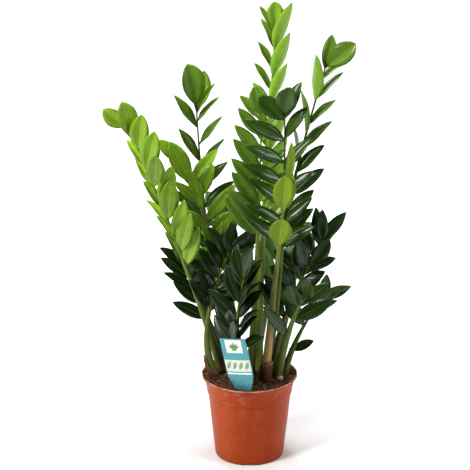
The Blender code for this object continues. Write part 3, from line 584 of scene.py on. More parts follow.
class Value:
    """A socket of a node tree that Python expressions can be written with."""

    __add__ = maths("ADD")
    __radd__ = maths("ADD", swapped=True)
    __sub__ = maths("SUBTRACT")
    __rsub__ = maths("SUBTRACT", swapped=True)
    __mul__ = maths("MULTIPLY")
    __rmul__ = maths("MULTIPLY", swapped=True)
    __truediv__ = maths("DIVIDE")
    __pow__ = maths("POWER")
    __gt__ = maths("GREATER_THAN")
    __lt__ = maths("LESS_THAN")
    __abs__ = maths("ABSOLUTE")
    sine = maths("SINE")
    cosine = maths("COSINE")
    arctan2 = maths("ARCTAN2")
    at_least = maths("MAXIMUM")
    at_most = maths("MINIMUM")
    length = maths("LENGTH")

    def __init__(self, tree, socket):
        self.tree = tree
        self.socket = socket

    def __neg__(self):
        return self * -1.0

    def split(self):
        """The three numbers of a vector."""
        return self.tree.node("ShaderNodeSeparateXYZ", (self,), ("X", "Y", "Z"))

    def step(self, start, end):
        """0 before start, 1 after end, and a smooth rise between them. Start may be the greater."""
        values = {"Value": self, "From Min": start, "From Max": end}
        return self.tree.node("ShaderNodeMapRange", values, interpolation_type="SMOOTHSTEP")


class NodeTree:
    """A node tree that is under construction."""

    def __init__(self, tree):
        self.tree = tree

    def node(self, kind, values=(), output=0, **settings):
        """Adds a node, with the values or links of its sockets by name or in order.

        The result is the output named, or a list of them for a tuple of names.
        """
        made = self.tree.nodes.new(kind)
        for name, setting in settings.items():
            setattr(made, name, setting)
        named = values if isinstance(values, dict) else dict(enumerate(values))
        for key, value in named.items():
            socket = pick_socket(made.inputs, key)
            for item in value if isinstance(value, list) else [value]:
                if isinstance(item, Value):
                    self.tree.links.new(item.socket, socket)
                else:
                    socket.default_value = (*item, 1.0) if socket.type == "RGBA" else item
        if isinstance(output, tuple):
            return [Value(self, pick_socket(made.outputs, key)) for key in output]
        return Value(self, pick_socket(made.outputs, output))

    def vector(self, x, y, z):
        return self.node("ShaderNodeCombineXYZ", (x, y, z))

    def mixed(self, share, first, second):
        """One colour over another."""
        return self.node("ShaderNodeMix", {"Factor": share, "A": first, "B": second}, data_type="RGBA")


class Finish(NodeTree):
    """The material of a surface: layers of colour over a base, a roughness and a relief."""

    def __init__(self, name, base, **constants):
        self.material = bpy.data.materials.new(name)
        self.material.use_nodes = True
        self.material.diffuse_color = (*base, 1.0)
        super().__init__(self.material.node_tree)
        self.shader = self.tree.nodes["Principled BSDF"]
        for socket, value in constants.items():
            self.shader.inputs[socket.replace("_", " ")].default_value = value
        self.tint = base
        # Place on the object, in metres
        self.place = self.node("ShaderNodeTexCoord", output="Object")

    def attribute(self, name, output="Fac"):
        return self.node("ShaderNodeAttribute", output=output, attribute_name=name)

    def noise(self, scale, detail=3.0, roughness=0.55, distortion=0.0, at=None):
        values = {
            "Vector": at or self.place, "Scale": scale, "Detail": detail, "Roughness": roughness,
            "Distortion": distortion,
        }
        return self.node("ShaderNodeTexNoise", values)

    def lay(self, *layers):
        """Lays colours over what is there, each with its share."""
        for share, colour in layers:
            self.tint = self.mixed(share, self.tint, colour)

    def join(self, socket, value):
        if isinstance(value, Value):
            self.tree.links.new(value.socket, self.shader.inputs[socket])
        else:
            self.shader.inputs[socket].default_value = value

    def finished(self, roughness, height=None, distance=0.001, strength=1.0):
        """Joins the colour, the roughness and the relief, in metres of height times distance."""
        self.join("Base Color", self.tint)
        self.join("Roughness", roughness)
        if height:
            values = {"Strength": strength, "Distance": distance, "Height": height}
            self.join("Normal", self.node("ShaderNodeBump", values))
        return self.material


class GeometryRule(NodeTree):
    """A Geometry Nodes group with named inputs, which works on the carrier mesh of a piece."""

    def __init__(self, name, **inputs):
        super().__init__(bpy.data.node_groups.new(name, "GeometryNodeTree"))
        face = self.tree.interface
        for way in ("INPUT", "OUTPUT"):
            face.new_socket("Geometry", in_out=way, socket_type="NodeSocketGeometry")
        kinds = {float: "NodeSocketFloat", int: "NodeSocketInt", Vector: "NodeSocketVector"}
        for label, default in inputs.items():
            kind = kinds.get(type(default), "NodeSocketMaterial")
            face.new_socket(label, in_out="INPUT", socket_type=kind).default_value = default
        self.group = self.tree.nodes.new("NodeGroupInput")

    def given(self, name="Geometry"):
        return Value(self, pick_socket(self.group.outputs, name))

    def made(self, kind, output=0, **values):
        """Adds a geometry node. In the names of its sockets, _ stands for a space."""
        values = {name.replace("_", " "): value for name, value in values.items()}
        return self.node("GeometryNode" + kind, values, output)

    def named(self, name, kind="FLOAT"):
        return self.node("GeometryNodeInputNamedAttribute", {"Name": name}, data_type=kind)

    def stored(self, geometry, name, value, kind="FLOAT", domain="POINT"):
        values = {"Geometry": geometry, "Name": name, "Value": value}
        return self.node("GeometryNodeStoreNamedAttribute", values, data_type=kind, domain=domain)

    def tube(self, line, sides, radius, **values):
        """Round tube with closed ends along a curve."""
        ring = {"Resolution": sides, "Radius": radius}
        ring = self.node("GeometryNodeCurvePrimitiveCircle", ring, mode="RADIUS")
        return self.made("CurveToMesh", Curve=line, Profile_Curve=ring, Fill_Caps=True, **values)

    def finished(self, geometry, *finishes):
        """Real geometry with its materials, each on all faces or on those of a face attribute."""
        geometry = self.made("RealizeInstances", Geometry=geometry)
        for label, attribute in finishes:
            values = {"Geometry": geometry, "Material": self.given(label)}
            if attribute:
                values["Selection"] = self.named(attribute, "BOOLEAN")
            geometry = self.made("SetMaterial", **values)
        output = self.tree.nodes.new("NodeGroupOutput")
        self.tree.links.new(geometry.socket, output.inputs["Geometry"])
        return self.tree


def new_piece(name, data):
    obj = bpy.data.objects.new(name, data)
    bpy.context.scene.collection.objects.link(obj)
    return obj


def piece_of(name, points, faces=(), edges=()):
    mesh = bpy.data.meshes.new(name)
    mesh.from_pydata(points, edges, faces)
    return new_piece(name, mesh)


def piece_from(name, shape):
    """Turns a bmesh into a piece."""
    mesh = bpy.data.meshes.new(name)
    shape.to_mesh(mesh)
    shape.free()
    return new_piece(name, mesh)


def plain_mesh(obj):
    """Turns what the object's modifiers make into its own plain mesh."""
    bpy.context.view_layer.update()
    evaluated = obj.evaluated_get(bpy.context.evaluated_depsgraph_get())
    mesh = bpy.data.meshes.new_from_object(evaluated)
    obj.modifiers.clear()
    obj.data = mesh
    return obj


def modified(obj, name, kind, **settings):
    modifier = obj.modifiers.new(name, kind)
    for setting, value in settings.items():
        setattr(modifier, setting, value)
    return modifier


def with_rule(obj, tree, **sizes):
    """Runs a geometry rule on a carrier, with its sizes, and keeps the plain result."""
    modifier = modified(obj, tree.name, "NODES", node_group=tree)
    for item in tree.interface.items_tree:
        if item.in_out == "INPUT" and item.name in sizes:
            modifier[item.identifier] = sizes[item.name]
    return plain_mesh(obj)


def add_attribute(obj, name, values):
    """Stores truths, numbers or vectors on a piece's points."""
    kind = {bool: "BOOLEAN", float: "FLOAT"}.get(type(values[0]), "FLOAT_VECTOR")
    attribute = obj.data.attributes.new(name, kind, "POINT")
    if kind == "FLOAT_VECTOR":
        attribute.data.foreach_set("vector", [number for vector in values for number in vector])
    else:
        attribute.data.foreach_set("value", values)


def turned(name, profile, steps):
    """A solid of revolution. The profile starts and ends on the axis and runs down the outside."""
    points = [(radius, 0.0, height) for radius, height in profile]
    obj = piece_of(name, points, edges=list(zip(range(len(points) - 1), range(1, len(points)))))
    modified(
        obj, "Turn", "SCREW", steps=steps, render_steps=steps, use_merge_vertices=True,
        merge_threshold=1e-5,
    )
    return plain_mesh(obj)


def outward(obj, smooth_below=None):
    """Merges doubles and turns all faces outwards; smooth, with sharp edges past an angle."""
    shape = bmesh.new()
    shape.from_mesh(obj.data)
    bmesh.ops.remove_doubles(shape, verts=shape.verts, dist=1e-6)
    bmesh.ops.recalc_face_normals(shape, faces=shape.faces)
    shape.to_mesh(obj.data)
    shape.free()
    obj.data.shade_smooth()
    if smooth_below:
        obj.data.set_sharp_from_angle(angle=smooth_below)
    return obj


def placed(obj, material, slot, *nodes):
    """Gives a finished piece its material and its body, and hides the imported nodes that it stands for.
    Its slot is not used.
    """
    if material:
        obj.data.materials.clear()
        obj.data.materials.append(material)
    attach(obj, "root")
    if nodes:
        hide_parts(*nodes)
    return obj


def stem_point(frond, s):
    """Point of a stem: s is 0 where it leaves the soil and 1 at the end of the rachis."""
    base = Vector((*frond.base, SOIL_LEVEL))
    elbow, tip = Vector(frond.elbow), Vector(frond.tip)
    if s < 0:
        return base + Vector((0, 0, s))
    return base * (1 - s) ** 2 + elbow * (2 * s * (1 - s)) + tip * s * s


def stem_radius(frond, s):
    return RACHIS_TIP_RADIUS + (frond.stem - RACHIS_TIP_RADIUS) * (1 - max(s, 0.0)) ** STEM_TAPER


def stem_stations():
    """Shares along the stem at which its tube has a ring. The first is its buried end."""
    return [-STEM_DEPTH] + [k / (STEM_POINTS - 1) for k in range(STEM_POINTS)]


def between(ends, share):
    return ends[0] + (ends[1] - ends[0]) * share


def stances(frond):
    """How each leaflet of a frond stands, from below."""
    found = [Stance(*numbers) for numbers in frond.crown]
    for rank in frond.ranks:
        for k in range(rank.count):
            rise = k / (rank.count - 1)
            found.append(Stance(*(between(ends, rise) for ends in zip(rank.lowest, rank.highest))))
    return sorted(found, key=lambda stance: stance.share)


def leaflet_on(frond, stance, change):
    """A frond's leaflet, with a small change to how it stands."""
    splay_more, azimuth_more, roll_more, scale = change
    s = stance.share
    ahead = (stem_point(frond, s + 0.01) - stem_point(frond, s - 0.01)).normalized()
    facing = math.radians(frond.facing)
    look = Vector((math.sin(facing), -math.cos(facing), LOOK_UP))
    front = (look - ahead * look.dot(ahead)).normalized()
    azimuth = math.radians(stance.azimuth + azimuth_more)
    splay = math.radians(stance.splay + splay_more)
    out = front * math.cos(azimuth) + ahead.cross(front) * math.sin(azimuth)
    along = ahead * math.cos(splay) + out * math.sin(splay)
    flat = (front - along * front.dot(along)).normalized()
    inward = -1 if stance.azimuth > 0 else 1
    roll = math.radians(stance.roll + roll_more) * inward
    upper = flat * math.cos(roll) + along.cross(flat) * math.sin(roll)
    length = stance.length * scale
    blunt = min(max((stance.width - 0.30) / 0.36, 0.0), 1.0)
    return Leaflet(
        stem_point(frond, s) + out * stem_radius(frond, s) * ROOT_OUT,
        along, upper.cross(along), upper, length, stance.width * length,
        math.radians(frond.bend), 0.78 + 0.22 * blunt, 0.95 - 0.32 * blunt,
    )


def blade_outline(leaflet, t):
    """Half-width of a blade at share t of its length, as a share of the widest."""
    rise, fall = leaflet.rise, leaflet.fall
    widest = rise / (rise + fall)
    return (t / widest) ** rise * ((1 - t) / (1 - widest)) ** fall


def blade_point(leaflet, t, side, lift=0.0):
    """Point of a blade: t runs along it, side from -1 to 1 across it, lift stands off it."""
    turn = leaflet.bend * t
    reach = leaflet.length * math.sin(turn) / leaflet.bend
    drop = leaflet.length * (1 - math.cos(turn)) / leaflet.bend
    stalk = BLADE_STALK * (1 - t)
    half = max(leaflet.width / 2 * blade_outline(leaflet, t), stalk) * side
    across = leaflet.across * (half * math.cos(BLADE_FOLD))
    height = abs(half) * math.sin(BLADE_FOLD) - drop + lift
    return leaflet.root + leaflet.along * reach + across + leaflet.upper * height


def blade_grid():
    """(t, side) of each vertex of a blade, its triangles and its border. The tip is one point."""
    shape = bmesh.new()
    spans = len(BLADE_STATIONS) - 1
    bmesh.ops.create_grid(shape, x_segments=spans, y_segments=2, size=1.0)
    tip = [v for v in shape.verts if v.co.x > 0.99]
    bmesh.ops.pointmerge(shape, verts=tip, merge_co=(1.0, 0.0, 0.0))
    bmesh.ops.triangulate(shape, faces=shape.faces, quad_method="FIXED")
    bmesh.ops.recalc_face_normals(shape, faces=shape.faces)
    shape.verts.index_update()
    spots = [
        (BLADE_STATIONS[round((v.co.x + 1) / 2 * spans)], round(v.co.y, 3)) for v in shape.verts
    ]
    faces = [tuple(v.index for v in face.verts) for face in shape.faces]
    border = [tuple(v.index for v in edge.verts) for edge in shape.edges if edge.is_boundary]
    shape.free()
    return spots, faces, border


def blade_room(leaflet, grid, clearance, stalked=True):
    """The room that a blade takes up, with a clearance, as a tree to test against."""
    spots, faces, border = grid
    if not stalked:
        faces = [face for face in faces if all(spots[i][0] > 0 for i in face)]
        border = [edge for edge in border if all(spots[i][0] > 0 for i in edge)]
    count = len(spots)
    lift = BLADE_THICKNESS / 2 + clearance
    points = [blade_point(leaflet, *spot, lift=sign * lift) for sign in (1, -1) for spot in spots]
    triangles = faces + [tuple(i + count for i in face) for face in faces]
    for a, b in border:
        triangles += [(a, b, b + count), (a, b + count, a + count)]
    return room_of(points, triangles)


def room_of(points, triangles):
    low = [min(p[axis] for p in points) for axis in range(3)]
    high = [max(p[axis] for p in points) for axis in range(3)]
    return BVHTree.FromPolygons(points, triangles, all_triangles=True), low, high


def stem_room(frond):
    """The room that a stem takes up, as rings."""
    points = []
    stations = stem_stations()
    for s in stations:
        ahead = (stem_point(frond, s + 0.01) - stem_point(frond, s - 0.01)).normalized()
        right = ahead.cross(Vector((0, 1, 0))).normalized()
        reach = stem_radius(frond, s) + STEM_CLEARANCE
        for k in range(STEM_SIDES):
            turn = math.tau * k / STEM_SIDES
            ray = right * math.cos(turn) + ahead.cross(right) * math.sin(turn)
            points.append(stem_point(frond, s) + ray * reach)
    triangles = []
    for ring, k in itertools.product(range(len(stations) - 1), range(STEM_SIDES)):
        a, b = ring * STEM_SIDES + k, ring * STEM_SIDES + (k + 1) % STEM_SIDES
        triangles += [(a, b, b + STEM_SIDES), (a, b + STEM_SIDES, a + STEM_SIDES)]
    return room_of(points, triangles)


def meets(room, other):
    (tree, low, high), (other_tree, other_low, other_high) = room, other
    if any(low[axis] > other_high[axis] or other_low[axis] > high[axis] for axis in range(3)):
        return False
    return bool(tree.overlap(other_tree))


def guard_rooms():
    """The label and the top of the pot, which no blade may touch."""
    across, up, out = label_axes()
    outline = label_outline(LABEL_ROOM)
    corners = [LABEL_FOOT + across * x + up * y for x, y in outline]
    label = [spot + lift * out for lift in (LABEL_ROOM, -LABEL_ROOM) for spot in corners]
    face = [(0, 1, 4), (0, 4, 5), (1, 2, 3), (1, 3, 4)]
    triangles = face + [tuple(i + len(corners) for i in three) for three in face]
    middle = Vector((0, 0, POT_HEIGHT + RIM_ROOM))
    reach = RIM_RADIUS + RIM_ROOM
    turns = [math.tau * k / TURNED_STEPS for k in range(TURNED_STEPS)]
    lid = [middle + Vector((math.cos(turn), math.sin(turn), 0)) * reach for turn in turns]
    fan = [(k, (k + 1) % TURNED_STEPS, TURNED_STEPS) for k in range(TURNED_STEPS)]
    return [room_of(label, triangles), room_of(lid + [middle], fan)]


def changes():
    """What a leaflet may change to clear its neighbours, the gentlest first."""
    tries = itertools.product(SPLAY_TRIES, AZIMUTH_TRIES, ROLL_TRIES, SCALE_TRIES)
    return sorted(tries, key=lambda t: abs(t[0]) + abs(t[1]) + abs(t[2]) / 2 + 100 * (1 - t[3]))


def grow(fronds):
    """Leaflets of every frond, each stood clear of all that is there before it."""
    draw = random.Random(SEED)
    grid = blade_grid()
    tries = changes()
    stems = {name: stem_room(frond) for name, frond in fronds.items()}
    taken = guard_rooms()
    grown = {}
    for name, frond in fronds.items():
        others = taken + [room for stem, room in stems.items() if stem != name]
        own = []
        grown[name] = []
        for stance in stances(frond):
            sway = [draw.uniform(-reach, reach) * frond.sway for reach in LEAFLET_SWAY[:3]]
            sway.append(draw.uniform(-LEAFLET_SWAY[3], LEAFLET_SWAY[3]))
            for change in tries:
                moved = [a + b for a, b in zip(sway, change)]
                leaflet = leaflet_on(frond, stance, moved)
                near = blade_room(leaflet, grid, OWN_CLEARANCE, stalked=False)
                if any(meets(near, other) for other in own):
                    continue
                room = blade_room(leaflet, grid, BLADE_CLEARANCE)
                if not any(meets(room, other) for other in others):
                    own.append(near)
                    taken.append(room)
                    grown[name].append(leaflet)
                    break
    return grown, grid


def label_axes():
    """Directions across the label, up it and out of its face."""
    up = LABEL_LEAN.normalized()
    across = (LABEL_ACROSS - up * LABEL_ACROSS.dot(up)).normalized()
    return across, up, across.cross(up)


def label_outline(grow_by):
    """Outline of the label in its own plane, from its top left round by its tapered foot."""
    half, tip = LABEL_WIDTH / 2 + grow_by, LABEL_TIP_WIDTH / 2 + grow_by
    top = LABEL_TAPER + LABEL_STRAIGHT + grow_by
    left = [(-half, top), (-half, LABEL_TAPER), (-tip, -grow_by)]
    return left + [(-x, y) for x, y in reversed(left)]


def pot_section():
    """Half-width and height of the pot's section: up the inside, over the lip and down the outside."""
    inside = [
        (0.0, FLOOR_TOP), (FOOT_RADIUS - 0.0035, FLOOR_TOP), (FOOT_RADIUS - 0.0018, FLOOR_TOP + 0.0008),
        (FOOT_RADIUS - 0.0012, FLOOR_TOP + 0.0035), (0.0782, 0.1075), (0.0806, 0.1310),
        (0.0824, 0.1340), (0.0867, 0.1600), (0.0905, 0.1660), (RIM_RADIUS - 0.0030, POT_HEIGHT - 0.0008),
    ]
    # The lip is given by how far each point is inside the rim and below the top
    lip = [
        (0.0025, 0.0002), (0.0016, 0.0), (0.0007, 0.0003), (0.0001, 0.0010), (0.0, 0.0018),
        (0.0001, 0.0030), (0.0006, 0.0038), (0.0017, 0.0042), (0.0025, 0.0052),
    ]
    collar = [
        (0.0914, 0.1650), (0.0900, 0.1625), (0.0888, 0.1600), (0.0868, 0.1480), (0.0846, 0.1352),
        (0.0843, 0.1340), (0.0836, 0.1330), (0.0827, 0.1322), (0.0823, 0.1308),
    ]
    body = [(0.0812, 0.1190), (0.0800, 0.1075), (0.0774, 0.0825), (0.0748, 0.0580), (0.0723, 0.0340)]
    # The foot is given by how far each point is outside the foot's radius
    foot = [
        (0.0007, 0.0100), (0.0004, 0.0060), (0.0, 0.0030), (-0.0005, 0.0012), (-0.0015, 0.0),
        (-0.0060, 0.0), (-0.0066, 0.0008), (-0.0070, CHANNEL_CEILING),
    ]
    underside = [(0.0270, CHANNEL_CEILING), (0.0255, 0.0), (0.0, 0.0)]
    lip = [(RIM_RADIUS - inset, POT_HEIGHT - drop) for inset, drop in lip]
    foot = [(FOOT_RADIUS + outset, height) for outset, height in foot]
    return inside + lip + collar + body + foot + underside


def cutter(name, shape, turn, place):
    obj = piece_from(name, shape)
    obj.matrix_world = Matrix.Rotation(turn, 4, "Z") @ Matrix.Translation(place)
    return obj


def notch_cutter(k):
    """Block that cuts a notch with rounded corners into the foot."""
    shape = bmesh.new()
    bmesh.ops.create_cube(shape, size=1.0)
    size = (NOTCH_REACH, NOTCH_WIDTH, 2 * NOTCH_HEIGHT)
    bmesh.ops.scale(shape, vec=size, verts=shape.verts)
    along = [e for e in shape.edges if abs((e.verts[0].co - e.verts[1].co).x) > 0.5 * NOTCH_REACH]
    bmesh.ops.bevel(shape, geom=along, offset=0.45 * NOTCH_HEIGHT, segments=4, affect="EDGES")
    place = Vector((FOOT_RADIUS - NOTCH_REACH / 5, 0, 0))
    return cutter(f"notch_{k}", shape, math.tau * (k / NOTCHES - 0.25), place)


def drain_cutter(k):
    shape = bmesh.new()
    bmesh.ops.create_cone(
        shape, cap_ends=True, segments=24, radius1=DRAIN_RADIUS, radius2=DRAIN_RADIUS,
        depth=4 * FLOOR_TOP,
    )
    place = Vector((DRAIN_RING, 0, FLOOR_TOP))
    return cutter(f"drain_{k}", shape, math.tau * (k + 0.5) / DRAIN_HOLES, place)


def pot_finish(settings):
    """Moulded plastic with faint flow streaks, scuffs, and dust on the lip and collar, with painted light
    on its sides, a painted highlight along the rim and painted shade under the lip and the collar.
    """
    surface = Finish(
        "pot_plastic", settings.plastic, Coat_Weight=0.08, Coat_Roughness=0.18,
        Specular_IOR_Level=0.06,
    )
    x, y, z = surface.place.split()
    turn = y.arctan2(x)
    round_spot = surface.vector(turn.cosine() * 0.08, turn.sine() * 0.08, z * 0.06)
    streaks = surface.noise(70.0, at=round_spot)
    mottle = surface.noise(34.0, 4.0, 0.6)
    grain = surface.noise(900.0, 2.0)
    patches = surface.noise(55.0, 6.0, 0.68)
    scratches = surface.noise(420.0, 2.0, at=surface.vector(x * 3.0, y * 3.0, z * 0.5)).step(0.66, 0.80)
    # Painted light: the left side of the pot, and the right side less, are made paler
    painted_lighter = (-x).step(-0.005, 0.075).at_least(x.step(0.030, 0.075) * 0.45)
    high = z.step(0.100, 0.165)
    left = (0.03 - x).step(0.0, 0.11)
    dusty = patches.step(0.50, 0.72) * (high * 0.7 + 0.12) * (left * 0.8 + 0.2) * settings.dust * 2.4
    # Painted shade: dark bands in the groove under the lip and below the collar's ridge
    painted_shade_under_lip = abs(z - (POT_HEIGHT - 0.0050)).step(0.0022, 0.0004)
    painted_shade_under_collar = abs(z - COLLAR_FOOT).step(0.0030, 0.0006)
    # Painted highlight: a pale line along the rim's top edge, broken up by patches
    painted_rim_highlight = z.step(POT_HEIGHT - 0.0016, POT_HEIGHT - 0.0003) * patches.step(0.30, 0.55)
    low = z.step(0.012, 0.0) * surface.noise(120.0, 4.0).step(0.35, 0.7)
    surface.lay(
        (streaks.step(0.35, 0.75) * 0.16, settings.sunned),
        (mottle.step(0.42, 0.75) * 0.22, settings.sunned),
        (painted_lighter * 0.50, settings.sunned),
        (dusty.at_most(0.85), settings.dust_tint),
        (painted_shade_under_lip * 0.55, (0.20, 0.022, 0.010)),
        (painted_shade_under_collar * 0.42, (0.16, 0.018, 0.004)),
        (painted_rim_highlight * 0.60, (0.72, 0.42, 0.30)),
        (low * 0.45, (0.10, 0.050, 0.030)),
    )
    roughness = 0.34 + mottle * 0.10 + dusty * 0.30 + scratches * 0.12
    height = grain * 0.25 + mottle * 0.30 + scratches * 0.12
    return surface.finished(roughness, height, distance=0.00035, strength=0.6)


def wall_radius(height):
    """Inner radius of the pot's wall at a height, read from its section."""
    section = pot_section()
    for (low_r, low_z), (high_r, high_z) in zip(section, section[1:]):
        if low_z <= height <= high_z and high_z > low_z:
            return between((low_r, high_r), (height - low_z) / (high_z - low_z))
    return RIM_RADIUS


def soil_height(x, y):
    """Height of the soil's surface: a low mound with lumps."""
    away = math.hypot(x, y) / RIM_RADIUS
    lump = noise.noise(Vector((x, y, 0.3)) * SOIL_LUMP_SCALE)
    fade = min(1.0, max(0.0, (0.97 - away) * 12))
    return SOIL_LEVEL + SOIL_MOUND * max(0.0, 1 - away * away) + SOIL_LUMP * lump * fade


def rough_soil_height(x, y):
    """The soil's surface with its clods, heaped a little against the wall of the pot."""
    spot = Vector((x, y, 0.7))
    clods = CLODS[0] * noise.fractal(spot * CLODS[1], 1.0, 2.0, 3)
    grains = GRAINS[0] * noise.noise(spot * GRAINS[1])
    away = math.hypot(x, y) / RIM_RADIUS
    heap = SOIL_HEAP * max(0.0, (away - HEAP_START) / HEAP_RUN)
    return soil_height(x, y) + clods + grains + heap


def soil_profile():
    edge = wall_radius(SOIL_EDGE) - GAP
    rings = [(edge * (k / SOIL_RINGS), SOIL_LEVEL) for k in range(1, SOIL_RINGS)]
    wall = [(wall_radius(z) - GAP, z) for z in (0.1600, 0.1350, 0.1300, 0.1075, FLOOR_TOP + 0.0045)]
    floor = [(FOOT_RADIUS - 0.0052, FLOOR_TOP + GAP), (0.0, FLOOR_TOP + GAP)]
    return [(0.0, SOIL_LEVEL)] + rings + [(edge, SOIL_EDGE)] + wall + floor


def soil_finish(settings):
    """Dark peat mix, in lumps, with brown fibres through it."""
    surface = Finish("potting_soil", settings.peat, Specular_IOR_Level=0.10)
    lumps = surface.noise(210.0, 6.0, 0.7)
    specks = surface.noise(700.0, 3.0, 0.6)
    strand = abs(surface.noise(160.0, 4.0, 0.6, 2.6) - 0.5).step(0.030, 0.0) * lumps.step(0.35, 0.6)
    surface.lay(
        (lumps.step(0.40, 0.74) * 0.75, settings.chip),
        (strand * 0.50, settings.fibre),
        (specks.step(0.62, 0.80) * 0.45, settings.fibre),
    )
    return surface.finished(0.94, lumps + specks * 0.5, distance=0.0016)


def litter_finish(name, dark, pale, roughness):
    """Loose bits: each has its own shade."""
    surface = Finish(name, dark, Specular_IOR_Level=0.15)
    grain = surface.noise(800.0, 3.0, 0.6)
    surface.lay((surface.attribute("shade") * 0.8 + grain * 0.3 - 0.1, pale))
    return surface.finished(roughness, grain, distance=0.0005)


class LitterRule(GeometryRule):
    """A geometry rule that strews bits over a carrier's faces, each with a shade of its own."""

    def __init__(self, name, **inputs):
        super().__init__(name, Density=1000.0, Seed=1, **inputs, Finish=None)

    def drawn(self, step, low=0.0, high=1.0):
        """A random number or vector for each bit. Each step of the seed gives others."""
        kind = "FLOAT_VECTOR" if isinstance(low, tuple) else "FLOAT"
        values = {"Min": low, "Max": high, "Seed": self.given("Seed") + step}
        return self.node("FunctionNodeRandomValue", values, data_type=kind)

    def strewn(self, bit, lift, turn, size, bend, scale, middle=(0.5, 0.5, 0.5)):
        """Places the bits, turned and sized, and bends them by a noise.

        Their lift is a vector, or a length off the faces.
        """
        values = {"Mesh": self.given(), "Density": self.given("Density"), "Seed": self.given("Seed")}
        points, normal = self.made("DistributePointsOnFaces", ("Points", "Normal"), **values)
        lift = lift if is_vector(lift) else normal * lift
        points = self.stored(points, "shade", self.drawn(2.0))
        points = self.made("SetPosition", Geometry=points, Offset=lift)
        turn = self.node("FunctionNodeEulerToRotation", (turn,))
        bits = self.made("InstanceOnPoints", Points=points, Instance=bit, Rotation=turn, Scale=size)
        bits = self.made("RealizeInstances", Geometry=bits)
        values = {"Vector": self.made("InputPosition"), "Scale": scale}
        shift = self.node("ShaderNodeTexNoise", values, "Color")
        shift = self.node("ShaderNodeVectorMath", (shift, middle), operation="SUBTRACT")
        bits = self.made("SetPosition", Geometry=bits, Offset=shift * bend)
        return bits


def crumb_rule():
    """Rough bits. Long ones lie flat, and the others at any angle."""
    rule = LitterRule(
        "Litter", Least=0.0005, Most=0.0020, Stretch=Vector((1, 1, 1)), Roughen=0.0006, Sink=0.0002,
    )
    least, most, stretch = (rule.given(name) for name in ("Least", "Most", "Stretch"))
    size = least + (most - least) * rule.drawn(1.0) ** 3.0
    turn = rule.drawn(3.0, (0.0, 0.0, 0.0), (math.tau, math.tau, math.tau))
    flat = rule.drawn(3.0, (-0.35, -0.35, 0.0), (0.35, 0.35, math.tau))
    long = stretch.split()[0].step(1.2, 1.6)
    bit = rule.made("MeshIcoSphere", Radius=1.0, Subdivisions=1)
    turn = turn * (1 - long) + flat * long
    sink, roughen = rule.given("Sink"), rule.given("Roughen")
    bits = rule.strewn(bit, sink, turn, stretch * size, roughen, 600.0)
    return rule.finished(bits, ("Finish", None))


def fibre_rule():
    """Short curled fibres."""
    rule = LitterRule("Fibres", Shortest=0.004, Longest=0.014, Radius=0.00022, Curl=0.003)
    shortest, longest = rule.given("Shortest"), rule.given("Longest")
    size = shortest + (longest - shortest) * rule.drawn(1.0) ** 2.0
    turn = rule.drawn(3.0, (-0.25, -0.25, 0.0), (0.25, 0.25, math.tau))
    line = rule.made("MeshLine", Count=8, Start_Location=(-0.5, 0.0, 0.0), Offset=(1 / 7, 0.0, 0.0))
    line = rule.made("MeshToCurve", Mesh=line)
    lift = rule.vector(0.0, 0.0, 0.0009)
    strands = rule.strewn(line, lift, turn, size, rule.given("Curl"), 95.0, (0.5, 0.5, 0.42))
    return rule.finished(rule.tube(strands, 4, rule.given("Radius")), ("Finish", None))


def grid_faces(rows, columns):
    """Quads between grid points that are listed row by row."""
    faces = []
    for row, column in itertools.product(range(rows), range(columns)):
        a = row * (columns + 1) + column
        b = a + columns + 1
        faces.append((a, a + 1, b + 1, b))
    return faces


def label_half_width(height):
    """Half the card's width at a height above its foot: tapered, and with rounded top corners."""
    half = LABEL_WIDTH / 2
    if height < LABEL_TAPER:
        return between((LABEL_TIP_WIDTH / 2, half), height / LABEL_TAPER)
    corner = max(0.0, height - (LABEL_TAPER + LABEL_STRAIGHT - LABEL_CORNER))
    return half - LABEL_CORNER + math.sqrt(max(0.0, LABEL_CORNER**2 - corner**2))


def make_label(settings):
    """Stiff card, bowed a little, as a closed shell with the card's own coordinates on it."""
    columns, rows = LABEL_GRID
    place = Matrix.Translation(LABEL_FOOT) @ Matrix(label_axes()).transposed().to_4x4()
    points, spots = [], []
    for layer, row, column in itertools.product((1, -1), range(rows + 1), range(columns + 1)):
        height = (LABEL_TAPER + LABEL_STRAIGHT) * (1 - (1 - row / rows) ** ROW_CROWDING)
        x = label_half_width(height) * (2 * column / columns - 1)
        bow = settings.bow * (1 - (2 * x / LABEL_WIDTH) ** 2) * min(1.0, height / LABEL_TAPER)
        points.append(place @ Vector((x, height, bow + layer * LABEL_THICKNESS / 2)))
        spots.append((x, height, layer))
    back = (rows + 1) * (columns + 1)
    faces = grid_faces(rows, columns)
    faces += [tuple(i + back for i in reversed(face)) for face in faces]
    border = [row * (columns + 1) for row in range(rows + 1)]
    border += [rows * (columns + 1) + column for column in range(1, columns + 1)]
    border += [row * (columns + 1) + columns for row in reversed(range(rows))]
    border += list(range(columns - 1, 0, -1))
    faces += [(a, b, b + back, a + back) for a, b in zip(border, border[1:] + border[:1])]
    card = piece_of("label_card", points, faces)
    add_attribute(card, "card", spots)
    outward(card, SHARP_LABEL)
    return placed(card, label_finish(settings), "label_plastic", "plant_label")


